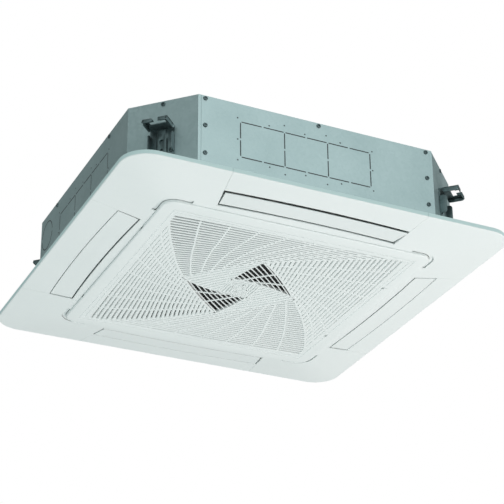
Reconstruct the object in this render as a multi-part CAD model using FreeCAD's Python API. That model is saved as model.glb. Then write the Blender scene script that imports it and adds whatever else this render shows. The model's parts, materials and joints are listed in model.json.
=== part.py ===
# Four-way ceiling cassette air conditioner, built piece by piece, in millimetres.
# The origin is the centre of the ceiling plane, where the top of the panel's rim meets the ceiling.
# +Z points up into the ceiling void, -Y is the front of the casing and +X its right side.
import FreeCAD, Part
import math
import os

Vector = FreeCAD.Vector

# Panel, in plan from the rim inwards
panel_half = 475.0
panel_corner = 65.0
outer_border = 67.5
outlet_width = 57.5
inner_strip = 13.0
grille_gap = 2.0
ceiling_lap = 60.0
outlet_end_room = 245.5
outlet_slant = 8.5
outlet_bow = 6.5

# Panel, in section
panel_wall = 2.5
panel_depth = 26.0
rim_height = 11.0
rim_round = 10.0
collar_top = 10.0
collar_offset = 4.5
duct_room = 2.5

# Corner covers and the finger recess round the grille's corners
cover_wall = 2.2
cover_clearance = 0.3
seam_gap = 0.5
seam_return = 2.5
recess_width = 9.0
recess_reach = 62.0
recess_depth = 9.0
recess_lap = 6.0
window_inner_margin = 22.0
window_rim_margin = 35.0

# Flaps, their pins and motors
flap_gap = 2.0
flap_thickness = 3.0
flap_pivot_in = 26.0
flap_pivot_rise = 11.5
flap_pin_radius = 2.0
flap_pin_gap = 0.3
flap_ear_inset = 5.0
flap_ear_thickness = 2.5
flap_ear_half = 6.0
flap_ear_top = 4.0
running_clearance = 0.05
flap_motor_radius = 8.0
flap_motor_length = 15.0

# Intake grille: border, slat whirl and hinge
grille_corner = 30.0
grille_thickness = 8.0
grille_drop = 4.0
grille_edge_round = 3.5
grille_border = 60.0
slat_thickness = 5.0
slat_margin = 7.0
slat_pitch = 17.6
slat_gap = 7.6
inner_slat_pitch = 15.6
inner_slat_gap = 9.5
hub_slat_pitch = 10.0
hub_slat_gap = 5.0
arm_width = 5.0
rib_width = 3.6
shortest_slot = 4.0
whirl_radius_share = 0.522
outer_rib_bays = 2
inner_rib_bays = 2
hub_rib_bays = 1
hinge_inset = 5.0
hinge_rise = 5.0
hinge_half = 190.0
hinge_pin_radius = 1.5
hinge_pin_length = 28.0
hinge_eye_radius = 3.0
hinge_eye_width = 12.0
hinge_side_room = 2.0
hinge_floor_room = 0.3
hinge_pocket_reach = 7.0
hinge_arm_width = 5.0
hinge_arm_height = 4.0
hinge_arm_rise = 12.0
seat_clearance = 0.02

# Filter and latches on the grille
filter_overlap = 6.0
filter_bar = 10.0
filter_height = 8.0
filter_rib = 4.0
filter_rib_half = 90.0
mesh_thickness = 1.0
mesh_rise = 4.0
latch_half = 150.0
latch_plate_width = 18.0
latch_plate_length = 40.0
latch_plate_thickness = 2.5
latch_edge_gap = 2.5
latch_knob_width = 8.0
latch_knob_length = 6.0
latch_knob_inset = 29.0
latch_knob_drop = 0.5
latch_travel = 6.0
latch_room = 0.5

# Casing sheets and the foot flanges under its chamfers
casing_top_level = 207.0
casing_bottom_level = 16.0
foot_level = 2.0
sheet = 1.2
chamfer_leg = 120.0
sheet_lap = 34.0
front_overhang = 2.0
skirt_height = 15.0
skirt_gap = 0.3
chamfer_tab_width = 100.0
chamfer_tab_depth = 27.0

# Knock-outs in the front and left sheets
knockout_slot = 1.4
knockout_bridge = 5.0
knockout_height = 90.0
knockout_level = 70.0
knockout_cell_count = 3
knockout_row_share = 0.5512
front_knockout_start_share = -0.661
left_knockout_start_share = -0.583
duct_knockout_radius_share = 0.1254
duct_knockout_offset_share = 0.8407
duct_knockout_level = 149.0
duct_knockout_bridge_angle = 14.0

# Hanger brackets on the chamfers
bracket_sheet = 3.0
bracket_width = 58.0
bracket_top_level = 137.0
bracket_web_height = 78.0
bracket_reach = 48.0
bracket_wing_reach = 30.0
bracket_wing_height = 42.0
bracket_mouth = 14.0
bracket_slot_width = 37.0
bracket_slot_depth = 10.0
bracket_slot_from = 24.0
bracket_lip = 9.0

# Drain pan, seal and insulation
pan_bottom_level = 14.0
pan_height = 46.0
pan_gap = 1.0
pan_floor = 16.0
pan_wall = 6.0
pan_corner = 40.0
pan_ledge = 8.0
pan_slot_lap = 4.0
pan_slot_margin = 2.0
liner_thickness = 10.0
liner_gap = 0.5
seal_lap = 3.0
sump_width = 54.0
sump_deeper = 6.0

# Heat exchanger and pipes
coil_offset = 46.0
coil_depth = 40.0
coil_trough_margin = 8.0
coil_corner = 70.0
coil_top_gap = 8.0
coil_gap_room = 108.0
end_plate = 2.0
bend_pipe_radius = 4.0
bend_radius = 10.5
bend_level_shares = (0.2, 0.5, 0.8)
bend_steps = 4
bend_sides = 6
header_standoff = 24.0
gas_header_radius = 9.0
gas_pipe_radius = 7.94
gas_pipe_level = 110.0
liquid_header_radius = 6.0
liquid_pipe_radius = 4.76
liquid_pipe_level = 150.0
feeder_half = 3.0
feeder_level_shares = (0.3, 0.7)
header_end_gap = 20.0
pipe_reach = 42.0
pipe_hole_gap = 2.0
union_length = 18.0
union_nut_share = 1.7

# Drain pump and spout
pump_offset = 46.0
pump_side_room = 153.0
pump_radius = 22.0
pump_height = 50.0
pump_level = 92.0
pump_nozzle_radius = 7.0
pump_nozzle_gap = 4.0
pump_post = 20.0
spout_radius = 12.5
spout_wall = 2.0
spout_reach = 32.0
spout_flange_radius = 18.0
spout_flange = 4.0
spout_rise = 20.0

# Bell mouth, fan and motor
bell_gap = 2.0
bell_plate = 2.0
bell_curve = 20.0
bell_margin = 43.0
bell_steps = 3
fan_air_gap = 34.0
fan_overlap = 6.0
fan_ring_gap = 6.0
fan_ring_wall = 2.5
fan_ring_rise = 32.0
fan_plate = 3.0
fan_top_gap = 34.0
fan_blade_count = 7
blade_depth = 80.0
blade_thickness = 3.5
blade_sweep_angle = 32.0
blade_sweep_power = 1.25
blade_steps = 3
blade_tip_inset = 4.0
hub_radius = 60.0
hub_cone_radius = 100.0
hub_depth = 51.0
boss_radius = 16.0
boss_drop = 6.0
shaft_radius = 5.0
shaft_end = 14.0
shaft_grip = 44.0
motor_radius = 62.0
motor_gap = 15.0
motor_round = 8.0
motor_top_gap = 10.0
motor_lug_reach = 105.0
motor_lug_width = 22.0
motor_lug_thickness = 4.0
bush_radius = 9.0
bush_inset = 11.0
motor_lug_count = 3

# Electrical box under the bell mouth
box_width = 88.0
box_length_share = 0.6
box_height = 38.0
box_edge_gap = 4.0
board_margin = 8.0
board_thickness = 1.6
standoff_height = 6.0
standoff_half = 3.0
standoff_inset = 6.0
terminal_length = 70.0
terminal_width = 22.0
terminal_height = 14.0
terminal_bay_count = 5
terminal_slot = 4.0
grommet_radius = 14.0
grommet_bore = 6.0
grommet_reach = 4.0
grommet_offset_share = 0.678
grommet_level = 100.0

# Tabs that take the panel's screws
panel_screw_radius = 2.5
panel_screw_gap = 0.3
panel_tab_width = 30.0
panel_tab_reach = 29.0
panel_tab_sink = 1.0

# One overrun serves every cut, and a few steps stand for each rounding
overrun = 5.0
corner_steps = 5
rim_steps = 2
bar_sides = 12
turn_sides = 28

# Sizes worked out from the ones above
outlet_out = panel_half - outer_border
outlet_in = outlet_out - outlet_width
outlet_outer_half = panel_half - outlet_end_room
outlet_inner_half = outlet_outer_half - outlet_slant
opening_half = outlet_in - inner_strip
opening_corner = grille_corner + grille_gap
recess_start_half = opening_half - recess_reach
grille_half = opening_half - grille_gap
body_half = panel_half - ceiling_lap
chamfer_sum = 2 * body_half - chamfer_leg
chamfer_reach = chamfer_sum / math.sqrt(2)
side_half = chamfer_sum - body_half
knockout_cell = knockout_row_share * 2 * side_half / knockout_cell_count
front_knockout_start = front_knockout_start_share * side_half
left_knockout_start = left_knockout_start_share * side_half
duct_knockout_radius = duct_knockout_radius_share * side_half
duct_knockout_offset = duct_knockout_offset_share * side_half
grommet_offset = grommet_offset_share * side_half
slope_run = panel_half - rim_round - opening_half
slope_share = (panel_depth - rim_height) / slope_run
seam_share = outlet_slant / outlet_width
cover_seat = cover_wall + cover_clearance
collar_in = opening_half + collar_offset
collar_out = collar_in + panel_wall
collar_corner = opening_corner + collar_offset + panel_wall
duct_in = collar_out
duct_out = outlet_out + outlet_bow + duct_room
duct_end = outlet_outer_half + seam_gap + duct_room / 2
flap_pivot = outlet_in + flap_pivot_in
grille_face = -(panel_depth + grille_drop)
grille_top = grille_face + grille_thickness
slat_field_half = grille_half - grille_border
whirl_half = slat_field_half - slat_margin
hinge_level = grille_face + hinge_rise
sheet_top = casing_top_level - sheet
pan_top_level = pan_bottom_level + pan_height
pan_floor_level = pan_bottom_level + pan_floor
coil_out = outlet_in - coil_offset
coil_in = coil_out - coil_depth
coil_gap_half = coil_out - coil_gap_room
coil_top = sheet_top - coil_top_gap
trough_in = coil_in - coil_trough_margin
trough_out = coil_out + coil_trough_margin
pan_hole = trough_in - pan_wall
bell_mouth_radius = pan_hole - bell_margin
bell_level = pan_bottom_level + (pan_height - pan_floor)
bell_top = bell_level + bell_plate + bell_curve
fan_radius = coil_in - fan_air_gap
blade_inner_radius = fan_radius - blade_depth
fan_bottom = bell_top - fan_overlap
fan_plate_top = sheet_top - fan_top_gap
hub_level = fan_plate_top - hub_depth
boss_bottom = hub_level - boss_drop
shaft_bore = (shaft_radius + running_clearance) / math.cos(math.pi / turn_sides)
motor_bottom = hub_level + motor_gap
motor_top = sheet_top - motor_top_gap
lug_top = motor_top - motor_lug_thickness / 2
pump_x = coil_out + pump_offset
pump_side_half = body_half - pump_side_room
skirt_bottom = sheet_top - skirt_height
liner_half = body_half - 2 * sheet - liner_gap
liner_sum = chamfer_sum - 2 * (sheet + liner_gap)
tab_reach_from = (collar_out - collar_corner) * math.sqrt(2) + collar_corner
panel_screw_distance = tab_reach_from + panel_tab_reach / 2


def block(x_low, x_high, y_low, y_high, z_low, z_high):
    """Box between two corners."""
    return Part.makeBox(x_high - x_low, y_high - y_low, z_high - z_low, Vector(x_low, y_low, z_low))


def rod(x, y, z, direction, radius, length):
    """Round bar from a point along a direction."""
    return Part.makeCylinder(radius, length, Vector(x, y, z), direction)


def bar(x, y, z, direction, radius, length):
    """Small round bar with a few flat sides, inside the given radius."""
    bar_axis = FreeCAD.Rotation(Vector(0, 0, 1), direction)
    place = Vector(x, y, z)
    corners = []
    for side in range(bar_sides):
        angle = math.radians(360 * side / bar_sides)
        spoke = Vector(radius * math.cos(angle), radius * math.sin(angle), 0)
        corners.append(place + bar_axis.multVec(spoke))
    return Part.Face(Part.makePolygon(corners + corners[:1])).extrude(direction * length)


def bar_hole(x, y, z, direction, radius, length):
    """Hole for a small bar, with its flat sides outside the given radius."""
    return bar(x, y, z, direction, radius / math.cos(math.pi / bar_sides), length)


def prism(points, low, high):
    """Upright prism on a plan outline."""
    corners = [Vector(x, y, low) for x, y in points]
    outline = Part.makePolygon(corners + corners[:1])
    return Part.Face(outline).extrude(Vector(0, 0, high - low))


def revolve(points):
    """Ring of flat-sided revolution about Z from points of radius and height."""
    rings = []
    for side in range(turn_sides):
        angle = math.radians(360 * side / turn_sides)
        rings.append([Vector(radius * math.cos(angle), radius * math.sin(angle), height)
                      for radius, height in points])
    return Part.makeSolid(Part.makeShell(banded(rings + rings[:1])))


def banded(rings):
    """Flat faces between rings of equally many points."""
    faces = []
    for upper, lower in zip(rings, rings[1:]):
        for index in range(len(upper)):
            corners = [upper[index - 1], upper[index], lower[index], lower[index - 1]]
            faces.append(Part.Face(Part.makePolygon(corners + corners[:1])))
    return faces


def spin(x, y, quarter):
    """Plan point turned by quarter turns about the centre."""
    for _ in range(quarter):
        x, y = -y, x
    return x, y


def turned(shape, quarter):
    """Copy of a shape turned by quarter turns about the centre."""
    copy = shape.copy()
    copy.rotate(Vector(0, 0, 0), Vector(0, 0, 1), 90 * quarter)
    return copy


def on_corner(shape, quarter):
    """Copy of a shape built along +X, turned onto a corner's diagonal, the front left one first."""
    copy = shape.copy()
    copy.rotate(Vector(0, 0, 0), Vector(0, 0, 1), 225 + 90 * quarter)
    return copy


def joined(shapes):
    """One solid from overlapping shapes, without seams on shared faces."""
    first = shapes[0]
    return first.fuse(shapes[1:]).removeSplitter()


def rounded_ring(half, radius, level):
    """Corner points of a square ring whose round corners have a few steps."""
    flat = half - radius
    points = []
    for quarter in range(4):
        for step in range(corner_steps + 1):
            angle = math.radians(270 + 90 * step / corner_steps)
            x = flat + radius * math.cos(angle)
            y = -flat + radius * math.sin(angle)
            points.append(Vector(*spin(x, y, quarter), level))
    return points


def skinned(rings):
    """Solid with flat sides between rings of equally many points."""
    ends = [Part.Face(Part.makePolygon(ring + ring[:1])) for ring in (rings[0], rings[-1])]
    return Part.makeSolid(Part.makeShell(ends + banded(rings)))


def rounded_square(half, radius, low, high):
    """Upright square block with round corners."""
    return skinned([rounded_ring(half, radius, low), rounded_ring(half, radius, high)])


def rounded_rim(half, radius, level, edge_round):
    """Rings down a rounded lower edge that ends level, for a square with round corners."""
    rings = []
    for step in range(rim_steps + 1):
        angle = math.radians(90 * step / rim_steps)
        draw_in = edge_round * (1 - math.cos(angle))
        height = level + edge_round * (1 - math.sin(angle))
        rings.append(rounded_ring(half - draw_in, radius - draw_in, height))
    return rings


def octagon(half_x, half_y, diagonal_sum, low, high):
    """Upright square block with its four corners cut off at 45 degrees."""
    cut_x = diagonal_sum - half_y
    cut_y = diagonal_sum - half_x
    points = [(-cut_x, -half_y), (cut_x, -half_y), (half_x, -cut_y), (half_x, cut_y)]
    points += [(cut_x, half_y), (-cut_x, half_y), (-half_x, cut_y), (-half_x, -cut_y)]
    return prism(points, low, high)


def face_level(distance):
    """Height of the panel's sloping face at a distance from the centre line."""
    return -(rim_height + slope_share * (panel_half - rim_round - distance))


def panel_form(inset, top):
    """Outer form of the panel drawn in by an inset: a rounded rim above four sloping faces."""
    half = panel_half - inset
    corner = panel_corner - inset
    rings = [rounded_ring(half, corner, top)]
    rings += rounded_rim(half, corner, inset - rim_height, rim_round - inset)
    rings.append(rounded_ring(opening_half, opening_corner, inset - panel_depth))
    return skinned(rings)


def seam_place(distance):
    """Half length of the seam between a side and its corner covers, along the outlet's slanted end."""
    return outlet_inner_half + seam_gap + seam_share * (distance - outlet_in)


def corner_zone(grow, quarter):
    """Plan zone of a corner cover, with its sides moved out by grow."""
    far = panel_half + overrun
    outer = seam_place(far) - grow
    inner = seam_place(outlet_in) - grow
    points = [(-outer, -far), (-inner, -outlet_in), (-inner, -inner), (-outlet_in, -inner)]
    points += [(-far, -outer), (-far, -far)]
    low = grille_face - overrun
    return turned(prism(points, low, collar_top + overrun), quarter)


def corner_zones(grow):
    """The four corner zones as one compound."""
    return Part.makeCompound([corner_zone(grow, quarter) for quarter in range(4)])


def outlet_prism(gap, end_gap, low, high):
    """Front outlet's outline with bowed long edges, drawn in by a gap along them and one at its ends."""
    near = outlet_in + gap
    far = outlet_out - gap
    near_half = outlet_inner_half - end_gap
    far_half = outlet_outer_half - end_gap
    inner_left = Vector(-near_half, -near, low)
    inner_right = Vector(near_half, -near, low)
    outer_right = Vector(far_half, -far, low)
    outer_left = Vector(-far_half, -far, low)
    inner = Part.Arc(inner_left, Vector(0, -near - outlet_bow, low), inner_right).toShape()
    outer = Part.Arc(outer_right, Vector(0, -far - outlet_bow, low), outer_left).toShape()
    ends = [Part.makeLine(inner_right, outer_right), Part.makeLine(outer_left, inner_left)]
    outline = Part.Wire([inner, ends[0], outer, ends[1]])
    return Part.Face(outline).extrude(Vector(0, 0, high - low))


def flap_axis_level():
    """Height of the flap's pivot above the panel's face."""
    return face_level(flap_pivot) + flap_pivot_rise


def duct_block(grow, low, high):
    """Front outlet's rectangular duct, grown outwards by a wall."""
    half = duct_end + grow
    return block(-half, half, -(duct_out + grow), -(duct_in - grow), low, high)


def hinge_arm(side):
    """Hook on the panel frame that carries one grille hinge pin."""
    axis_x = -(grille_half - hinge_inset)
    low_y = side * hinge_half - hinge_eye_width / 2
    high_y = side * hinge_half + hinge_eye_width / 2
    shelf_low = hinge_level + hinge_arm_rise
    shelf_high = shelf_low + hinge_arm_height
    arm_half = hinge_arm_width / 2
    shelf = block(-(collar_in + panel_wall / 2), axis_x + arm_half, low_y, high_y, shelf_low, shelf_high)
    post = block(axis_x - arm_half, axis_x + arm_half, low_y, high_y, hinge_level, shelf_high)
    eye = bar(axis_x, low_y, hinge_level, Vector(0, 1, 0), hinge_eye_radius, hinge_eye_width)
    bore = bar_hole(axis_x, low_y - overrun, hinge_level, Vector(0, 1, 0),
                    hinge_pin_radius + running_clearance, hinge_eye_width + 2 * overrun)
    return joined([shelf, post, eye]).cut(bore)


def panel_tab():
    """Screw tab on the collar's corner, along +X."""
    low = foot_level - panel_wall
    half = panel_tab_width / 2
    start = tab_reach_from - panel_tab_sink
    tab = block(start, tab_reach_from + panel_tab_reach, -half, half, low, foot_level)
    hole = bar_hole(panel_screw_distance, 0, low - overrun, Vector(0, 0, 1),
                    panel_screw_radius + panel_screw_gap, panel_wall + 2 * overrun)
    return tab.cut(hole)


def panel_frame():
    """Moulded frame: sloping skin, corner seats, collar, outlet ducts, screw tabs and hinge hooks."""
    low = grille_face - overrun
    outer = panel_form(0, 0)
    hollow = panel_form(panel_wall, overrun)
    seat = panel_form(cover_seat, 0)
    seat_hollow = panel_form(cover_seat + panel_wall, overrun)
    zones = corner_zones(0)
    sides = outer.cut(hollow).cut(zones)
    returns = outer.cut(seat_hollow).common(corner_zones(seam_return)).cut(zones)
    recess_out = opening_half + recess_width + recess_lap
    recess_corner = opening_corner + recess_width + recess_lap
    window_start = duct_end + panel_wall
    window_end = panel_half - window_rim_margin
    window = block(-window_end, -window_start, -window_end, -window_start, low, collar_top)
    keep = rounded_square(opening_half + window_inner_margin, opening_corner, low, collar_top)
    window = window.cut(keep)
    windows = [turned(window, quarter) for quarter in range(4)]
    recess_floor = recess_depth - panel_depth
    recess = rounded_square(recess_out, recess_corner, low, recess_floor)
    seats = seat.cut(seat_hollow).common(zones).cut(windows).cut(recess)
    floor_top = recess_floor + panel_wall
    floor = rounded_square(recess_out + panel_wall, recess_corner + panel_wall, low, floor_top)
    floor = floor.cut(recess).common(seat).common(zones)
    collar = rounded_square(collar_out, collar_corner, panel_wall / 2 - panel_depth, collar_top)
    collar = collar.cut(rounded_square(collar_in, collar_corner - panel_wall, low, collar_top + overrun))
    collar = collar.cut(recess.common(zones))
    duct = duct_block(panel_wall, low, collar_top).cut(duct_block(0, low, collar_top + overrun))
    inside = panel_form(panel_wall / 2, collar_top + overrun)
    duct = duct.common(inside)
    axis_level = flap_axis_level()
    bore_length = 2 * (duct_end + panel_wall + overrun)
    bore = bar_hole(-bore_length / 2, -flap_pivot, axis_level, Vector(1, 0, 0),
                    flap_pin_radius + running_clearance, bore_length)
    duct = duct.cut(bore)
    ducts = [turned(duct, quarter) for quarter in range(4)]
    tabs = [on_corner(panel_tab(), quarter) for quarter in range(4)]
    frame = sides.fuse([returns, seats, floor, collar] + ducts + tabs)
    outlet = outlet_prism(0, -2 * seam_gap, low, face_level(outlet_out) + 2 * panel_wall)
    frame = frame.cut([turned(outlet, quarter) for quarter in range(4)])
    frame = frame.cut(rounded_square(opening_half, opening_corner, low, floor_top))
    cover_room = outer.cut(panel_form(cover_seat, overrun)).common(zones)
    frame = frame.cut(cover_room)
    frame = frame.fuse([hinge_arm(-1), hinge_arm(1)])
    return frame.removeSplitter()


def panel_seal():
    """Foam gasket between the panel's ducts and the drain pan."""
    low = collar_top
    high = pan_bottom_level
    ring = rounded_square(collar_out + seal_lap, collar_corner + seal_lap, low, high)
    ring = ring.cut(rounded_square(collar_in, collar_corner - panel_wall, low, high))
    duct = duct_block(panel_wall + seal_lap, low, high)
    rings = [ring] + [turned(duct, quarter) for quarter in range(4)]
    hole = duct_block(0, low, high)
    middle = rounded_square(collar_in, collar_corner - panel_wall, low, high)
    return joined(rings).cut([middle] + [turned(hole, quarter) for quarter in range(4)])


def corner_cover():
    """Front left corner cover: a skin flush with the panel, notched round the grille's corner."""
    low = grille_face - overrun
    skin = panel_form(0, 0).cut(panel_form(cover_wall, overrun)).common(corner_zone(-seam_gap, 0))
    opening = rounded_square(opening_half, opening_corner, low, overrun)
    recess = rounded_square(opening_half + recess_width, opening_corner + recess_width, low, overrun)
    far = panel_half
    quadrant = block(-far, -recess_start_half, -far, -recess_start_half, low, overrun)
    return skin.cut([opening, recess.common(quadrant)])


def flap():
    """Front flap: bowed blade flush with the panel, with an ear and a pin at each end."""
    low = grille_face - overrun
    blade = panel_form(0, 0).cut(panel_form(flap_thickness, overrun))
    blade = blade.common(outlet_prism(flap_gap, flap_gap, low, overrun))
    level = flap_axis_level()
    ear_out = outlet_inner_half - flap_gap - flap_ear_inset
    foot = face_level(flap_pivot + flap_ear_half) + flap_thickness / 2
    pieces = [blade]
    for side in (-1, 1):
        start = side * ear_out - flap_ear_thickness / 2
        outline = [(flap_ear_half, foot), (flap_pin_radius, level + flap_ear_top)]
        outline += [(-flap_pin_radius, level + flap_ear_top), (-flap_ear_half, foot)]
        corners = [Vector(start, across - flap_pivot, height) for across, height in outline]
        ear = Part.Face(Part.makePolygon(corners + corners[:1])).extrude(Vector(flap_ear_thickness, 0, 0))
        reach = duct_end + panel_wall - flap_pin_gap - ear_out
        pin = bar(side * ear_out, -flap_pivot, level, Vector(side, 0, 0), flap_pin_radius, reach)
        pieces += [ear, pin]
    return joined(pieces)


def flap_motor():
    """Stepper motor on the duct wall, at the right end of the front flap."""
    start = duct_end + panel_wall
    return bar(start, -flap_pivot, flap_axis_level(), Vector(1, 0, 0), flap_motor_radius, flap_motor_length)


class WhirlCurve:
    """Arc from the outer side of a whirl to its inner square, seen in the left sector."""

    def __init__(self, half, radius, share):
        """Pass through a share of the left side and the same share of the inner square's edge."""
        self.start = Vector(-half, half * (2 * share - 1), 0)
        self.end = Vector(radius * (share - 1), radius * share, 0)
        angle = math.radians(45 - 90 * share)
        normal = Vector(math.sin(angle), -math.cos(angle), 0)
        chord = self.end - self.start
        bend = 2 * chord.dot(normal)
        self.straight = abs(bend) < chord.Length / 1000
        if not self.straight:
            self.bow = -chord.dot(chord) / bend
            self.centre = self.end + normal * self.bow

    def height(self, x, offset):
        """Height of the curve at a place along X, moved up by an offset square to the curve."""
        if self.straight:
            rise = (self.end.y - self.start.y) / (self.end.x - self.start.x)
            stretch = math.sqrt(1 + rise * rise)
            return self.start.y + rise * (x - self.start.x) + offset * stretch
        side = math.copysign(1, self.bow)
        radius = abs(self.bow) + side * offset
        return self.centre.y + side * math.sqrt(max(radius * radius - (x - self.centre.x) ** 2, 0))


def sector_slots(half, bays, pitch, gap):
    """Slot outlines of the left sector of a whirl, cut short by its arms and ribs."""
    radius = half * whirl_radius_share
    curves = [WhirlCurve(half, radius, bay / bays) for bay in range(bays + 1)]
    edge_room = arm_width * math.sqrt(2) / 2
    slots = []
    for step in range(int(half / pitch)):
        sides = (-half + step * pitch, -half + step * pitch + gap)
        for bay in range(bays):
            low_half = arm_width / 2 if bay == 0 else rib_width / 2
            high_half = arm_width / 2 if bay == bays - 1 else rib_width / 2
            if sides[1] > curves[bay + 1].end.x - rib_width:
                continue
            lows = []
            highs = []
            for x in sides:
                floor = x + radius + edge_room
                if x < curves[bay].end.x:
                    floor = curves[bay].height(x, low_half)
                lows.append(floor)
                highs.append(curves[bay + 1].height(x, -high_half))
            if min(highs[0] - lows[0], highs[1] - lows[1]) > shortest_slot:
                slots.append([(sides[0], lows[0]), (sides[1], lows[1]), (sides[1], highs[1]),
                              (sides[0], highs[0])])
    return slots


def whirl_slots():
    """Every slot of the grille: the same whirl three times, each smaller and an eighth turn on."""
    shrink = whirl_radius_share / math.sqrt(2)
    levels = [(whirl_half, outer_rib_bays, slat_pitch, slat_gap)]
    levels.append((whirl_half * shrink, inner_rib_bays, inner_slat_pitch, inner_slat_gap))
    levels.append((whirl_half * shrink * shrink, hub_rib_bays, hub_slat_pitch, hub_slat_gap))
    outlines = []
    for level, (half, bays, pitch, gap) in enumerate(levels):
        for slot in sector_slots(half, bays, pitch, gap):
            for quarter in range(4):
                angle = math.radians(90 * quarter - 45 * level)
                cosine = math.cos(angle)
                sine = math.sin(angle)
                outlines.append([(x * cosine - y * sine, x * sine + y * cosine) for x, y in slot])
    return outlines


def intake_grille():
    """Hinged intake grille: rounded border round a plate of whirling slats."""
    rings = [rounded_ring(grille_half, grille_corner, grille_top)]
    border = skinned(rings + rounded_rim(grille_half, grille_corner, grille_face, grille_edge_round))
    field = slat_field_half
    border = border.cut(block(-field, field, -field, field, grille_face - overrun, grille_top + overrun))
    corners = [(-field, -field), (field, -field), (field, field), (-field, field)]
    outlines = [corners] + whirl_slots()
    wires = []
    for outline in outlines:
        points = [Vector(x, y, grille_face) for x, y in outline]
        wires.append(Part.makePolygon(points + points[:1]))
    plate = Part.makeFace(wires, "Part::FaceMakerBullseye").extrude(Vector(0, 0, slat_thickness))
    grille = border.fuse(plate).removeSplitter()
    axis_x = -(grille_half - hinge_inset)
    pocket_half = hinge_eye_width / 2 + hinge_side_room
    pocket_low = hinge_level - hinge_eye_radius - hinge_floor_room
    cuts = []
    for side in (-1, 1):
        middle = side * hinge_half
        cuts.append(block(-grille_half - overrun, axis_x + hinge_pocket_reach, middle - pocket_half,
                          middle + pocket_half, pocket_low, grille_top + overrun))
        cuts.append(bar_hole(axis_x, middle - hinge_pin_length / 2, hinge_level, Vector(0, 1, 0),
                             hinge_pin_radius + seat_clearance, hinge_pin_length))
        knob = latch_knob_place()
        cuts.append(block(knob - latch_travel - latch_room, knob + latch_knob_length + latch_room,
                          side * latch_half - latch_knob_width / 2 - latch_room,
                          side * latch_half + latch_knob_width / 2 + latch_room,
                          grille_face - overrun, grille_top + overrun))
    return grille.cut(cuts)


def hinge_pins():
    """The grille's two hinge pins."""
    axis_x = -(grille_half - hinge_inset)
    pins = []
    for side in (-1, 1):
        start = side * hinge_half - hinge_pin_length / 2
        pins.append(bar(axis_x, start, hinge_level, Vector(0, 1, 0), hinge_pin_radius, hinge_pin_length))
    return Part.makeCompound(pins)


def latch_knob_place():
    """Inner end of a latch knob along X."""
    return grille_half - latch_knob_inset


def grille_latch(side):
    """Slide latch in the grille's right border: a plate on top and a knob through the slot."""
    middle = side * latch_half
    end = grille_half - latch_edge_gap
    half = latch_plate_width / 2
    plate = block(end - latch_plate_length, end, middle - half, middle + half, grille_top,
                  grille_top + latch_plate_thickness)
    knob = latch_knob_place()
    knob_half = latch_knob_width / 2
    knob = block(knob, knob + latch_knob_length, middle - knob_half, middle + knob_half,
                 grille_face - latch_knob_drop, grille_top + latch_plate_thickness / 2)
    return joined([plate, knob])


def filter_frame():
    """Filter's frame on top of the grille's border, with stiffening ribs under the mesh."""
    half = slat_field_half + filter_overlap
    inner = half - filter_bar
    frame = block(-half, half, -half, half, grille_top, grille_top + filter_height)
    frame = frame.cut(block(-inner, inner, -inner, inner, grille_top, grille_top + filter_height))
    mesh_low = grille_top + mesh_rise
    ribs = []
    for place in (-filter_rib_half, filter_rib_half):
        low = place - filter_rib / 2
        high = place + filter_rib / 2
        ribs.append(block(low, high, -inner, inner, mesh_low - filter_rib / 2, mesh_low))
        ribs.append(block(-inner, inner, low, high, mesh_low - filter_rib / 2, mesh_low))
    return joined([frame] + ribs)


def filter_mesh():
    """Filter's mesh, drawn as a thin sheet inside its frame."""
    inner = slat_field_half + filter_overlap - filter_bar
    low = grille_top + mesh_rise
    return block(-inner, inner, -inner, inner, low, low + mesh_thickness)


def slot_line(start, end, across, vertical):
    """One perforated line of a knock-out in a sheet that faces -Y: two slots with a bridge between."""
    middle = (start + end) / 2
    half = knockout_slot / 2
    spans = [(start + knockout_bridge / 2, middle - knockout_bridge / 2)]
    spans.append((middle + knockout_bridge / 2, end - knockout_bridge / 2))
    low_y = -body_half - overrun
    high_y = -body_half + sheet + overrun
    slots = []
    for low, high in spans:
        if vertical:
            slots.append(block(across - half, across + half, low_y, high_y, low, high))
        else:
            slots.append(block(low, high, low_y, high_y, across - half, across + half))
    return slots


def knockout_slots(start):
    """Row of rectangular knock-outs in a sheet that faces -Y."""
    slots = []
    top = knockout_level + knockout_height
    for cell in range(knockout_cell_count):
        left = start + cell * knockout_cell
        for level in (knockout_level, top):
            slots += slot_line(left, left + knockout_cell, level, False)
    for line in range(knockout_cell_count + 1):
        slots += slot_line(knockout_level, top, start + line * knockout_cell, True)
    return slots


def duct_knockout():
    """Round knock-out in a sheet that faces -Y: two slotted arcs with bridges at the sides."""
    along = Vector(0, 1, 0)
    start_y = -body_half - overrun
    depth = sheet + 2 * overrun
    outer = rod(duct_knockout_offset, start_y, duct_knockout_level, along,
                duct_knockout_radius + knockout_slot / 2, depth)
    inner = rod(duct_knockout_offset, start_y, duct_knockout_level, along,
                duct_knockout_radius - knockout_slot / 2, depth)
    bridge_half = duct_knockout_radius * math.sin(math.radians(duct_knockout_bridge_angle / 2))
    reach = duct_knockout_radius + overrun
    bridge = block(duct_knockout_offset - reach, duct_knockout_offset + reach, start_y, start_y + depth,
                   duct_knockout_level - bridge_half, duct_knockout_level + bridge_half)
    return outer.cut(inner).cut(bridge)


def casing_front():
    """Flat front sheet with a row of knock-outs."""
    half = side_half + front_overhang
    plate = block(-half, half, -body_half, -body_half + sheet, casing_bottom_level, sheet_top)
    return plate.cut(knockout_slots(front_knockout_start))


def casing_back():
    """Flat back sheet with the cable grommet's hole."""
    half = side_half + front_overhang
    plate = block(-half, half, body_half - sheet, body_half, casing_bottom_level, sheet_top)
    hole = bar(grommet_offset, body_half - sheet - overrun, grommet_level, Vector(0, 1, 0),
               grommet_radius + seat_clearance, sheet + 2 * overrun)
    return plate.cut(hole)


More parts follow.
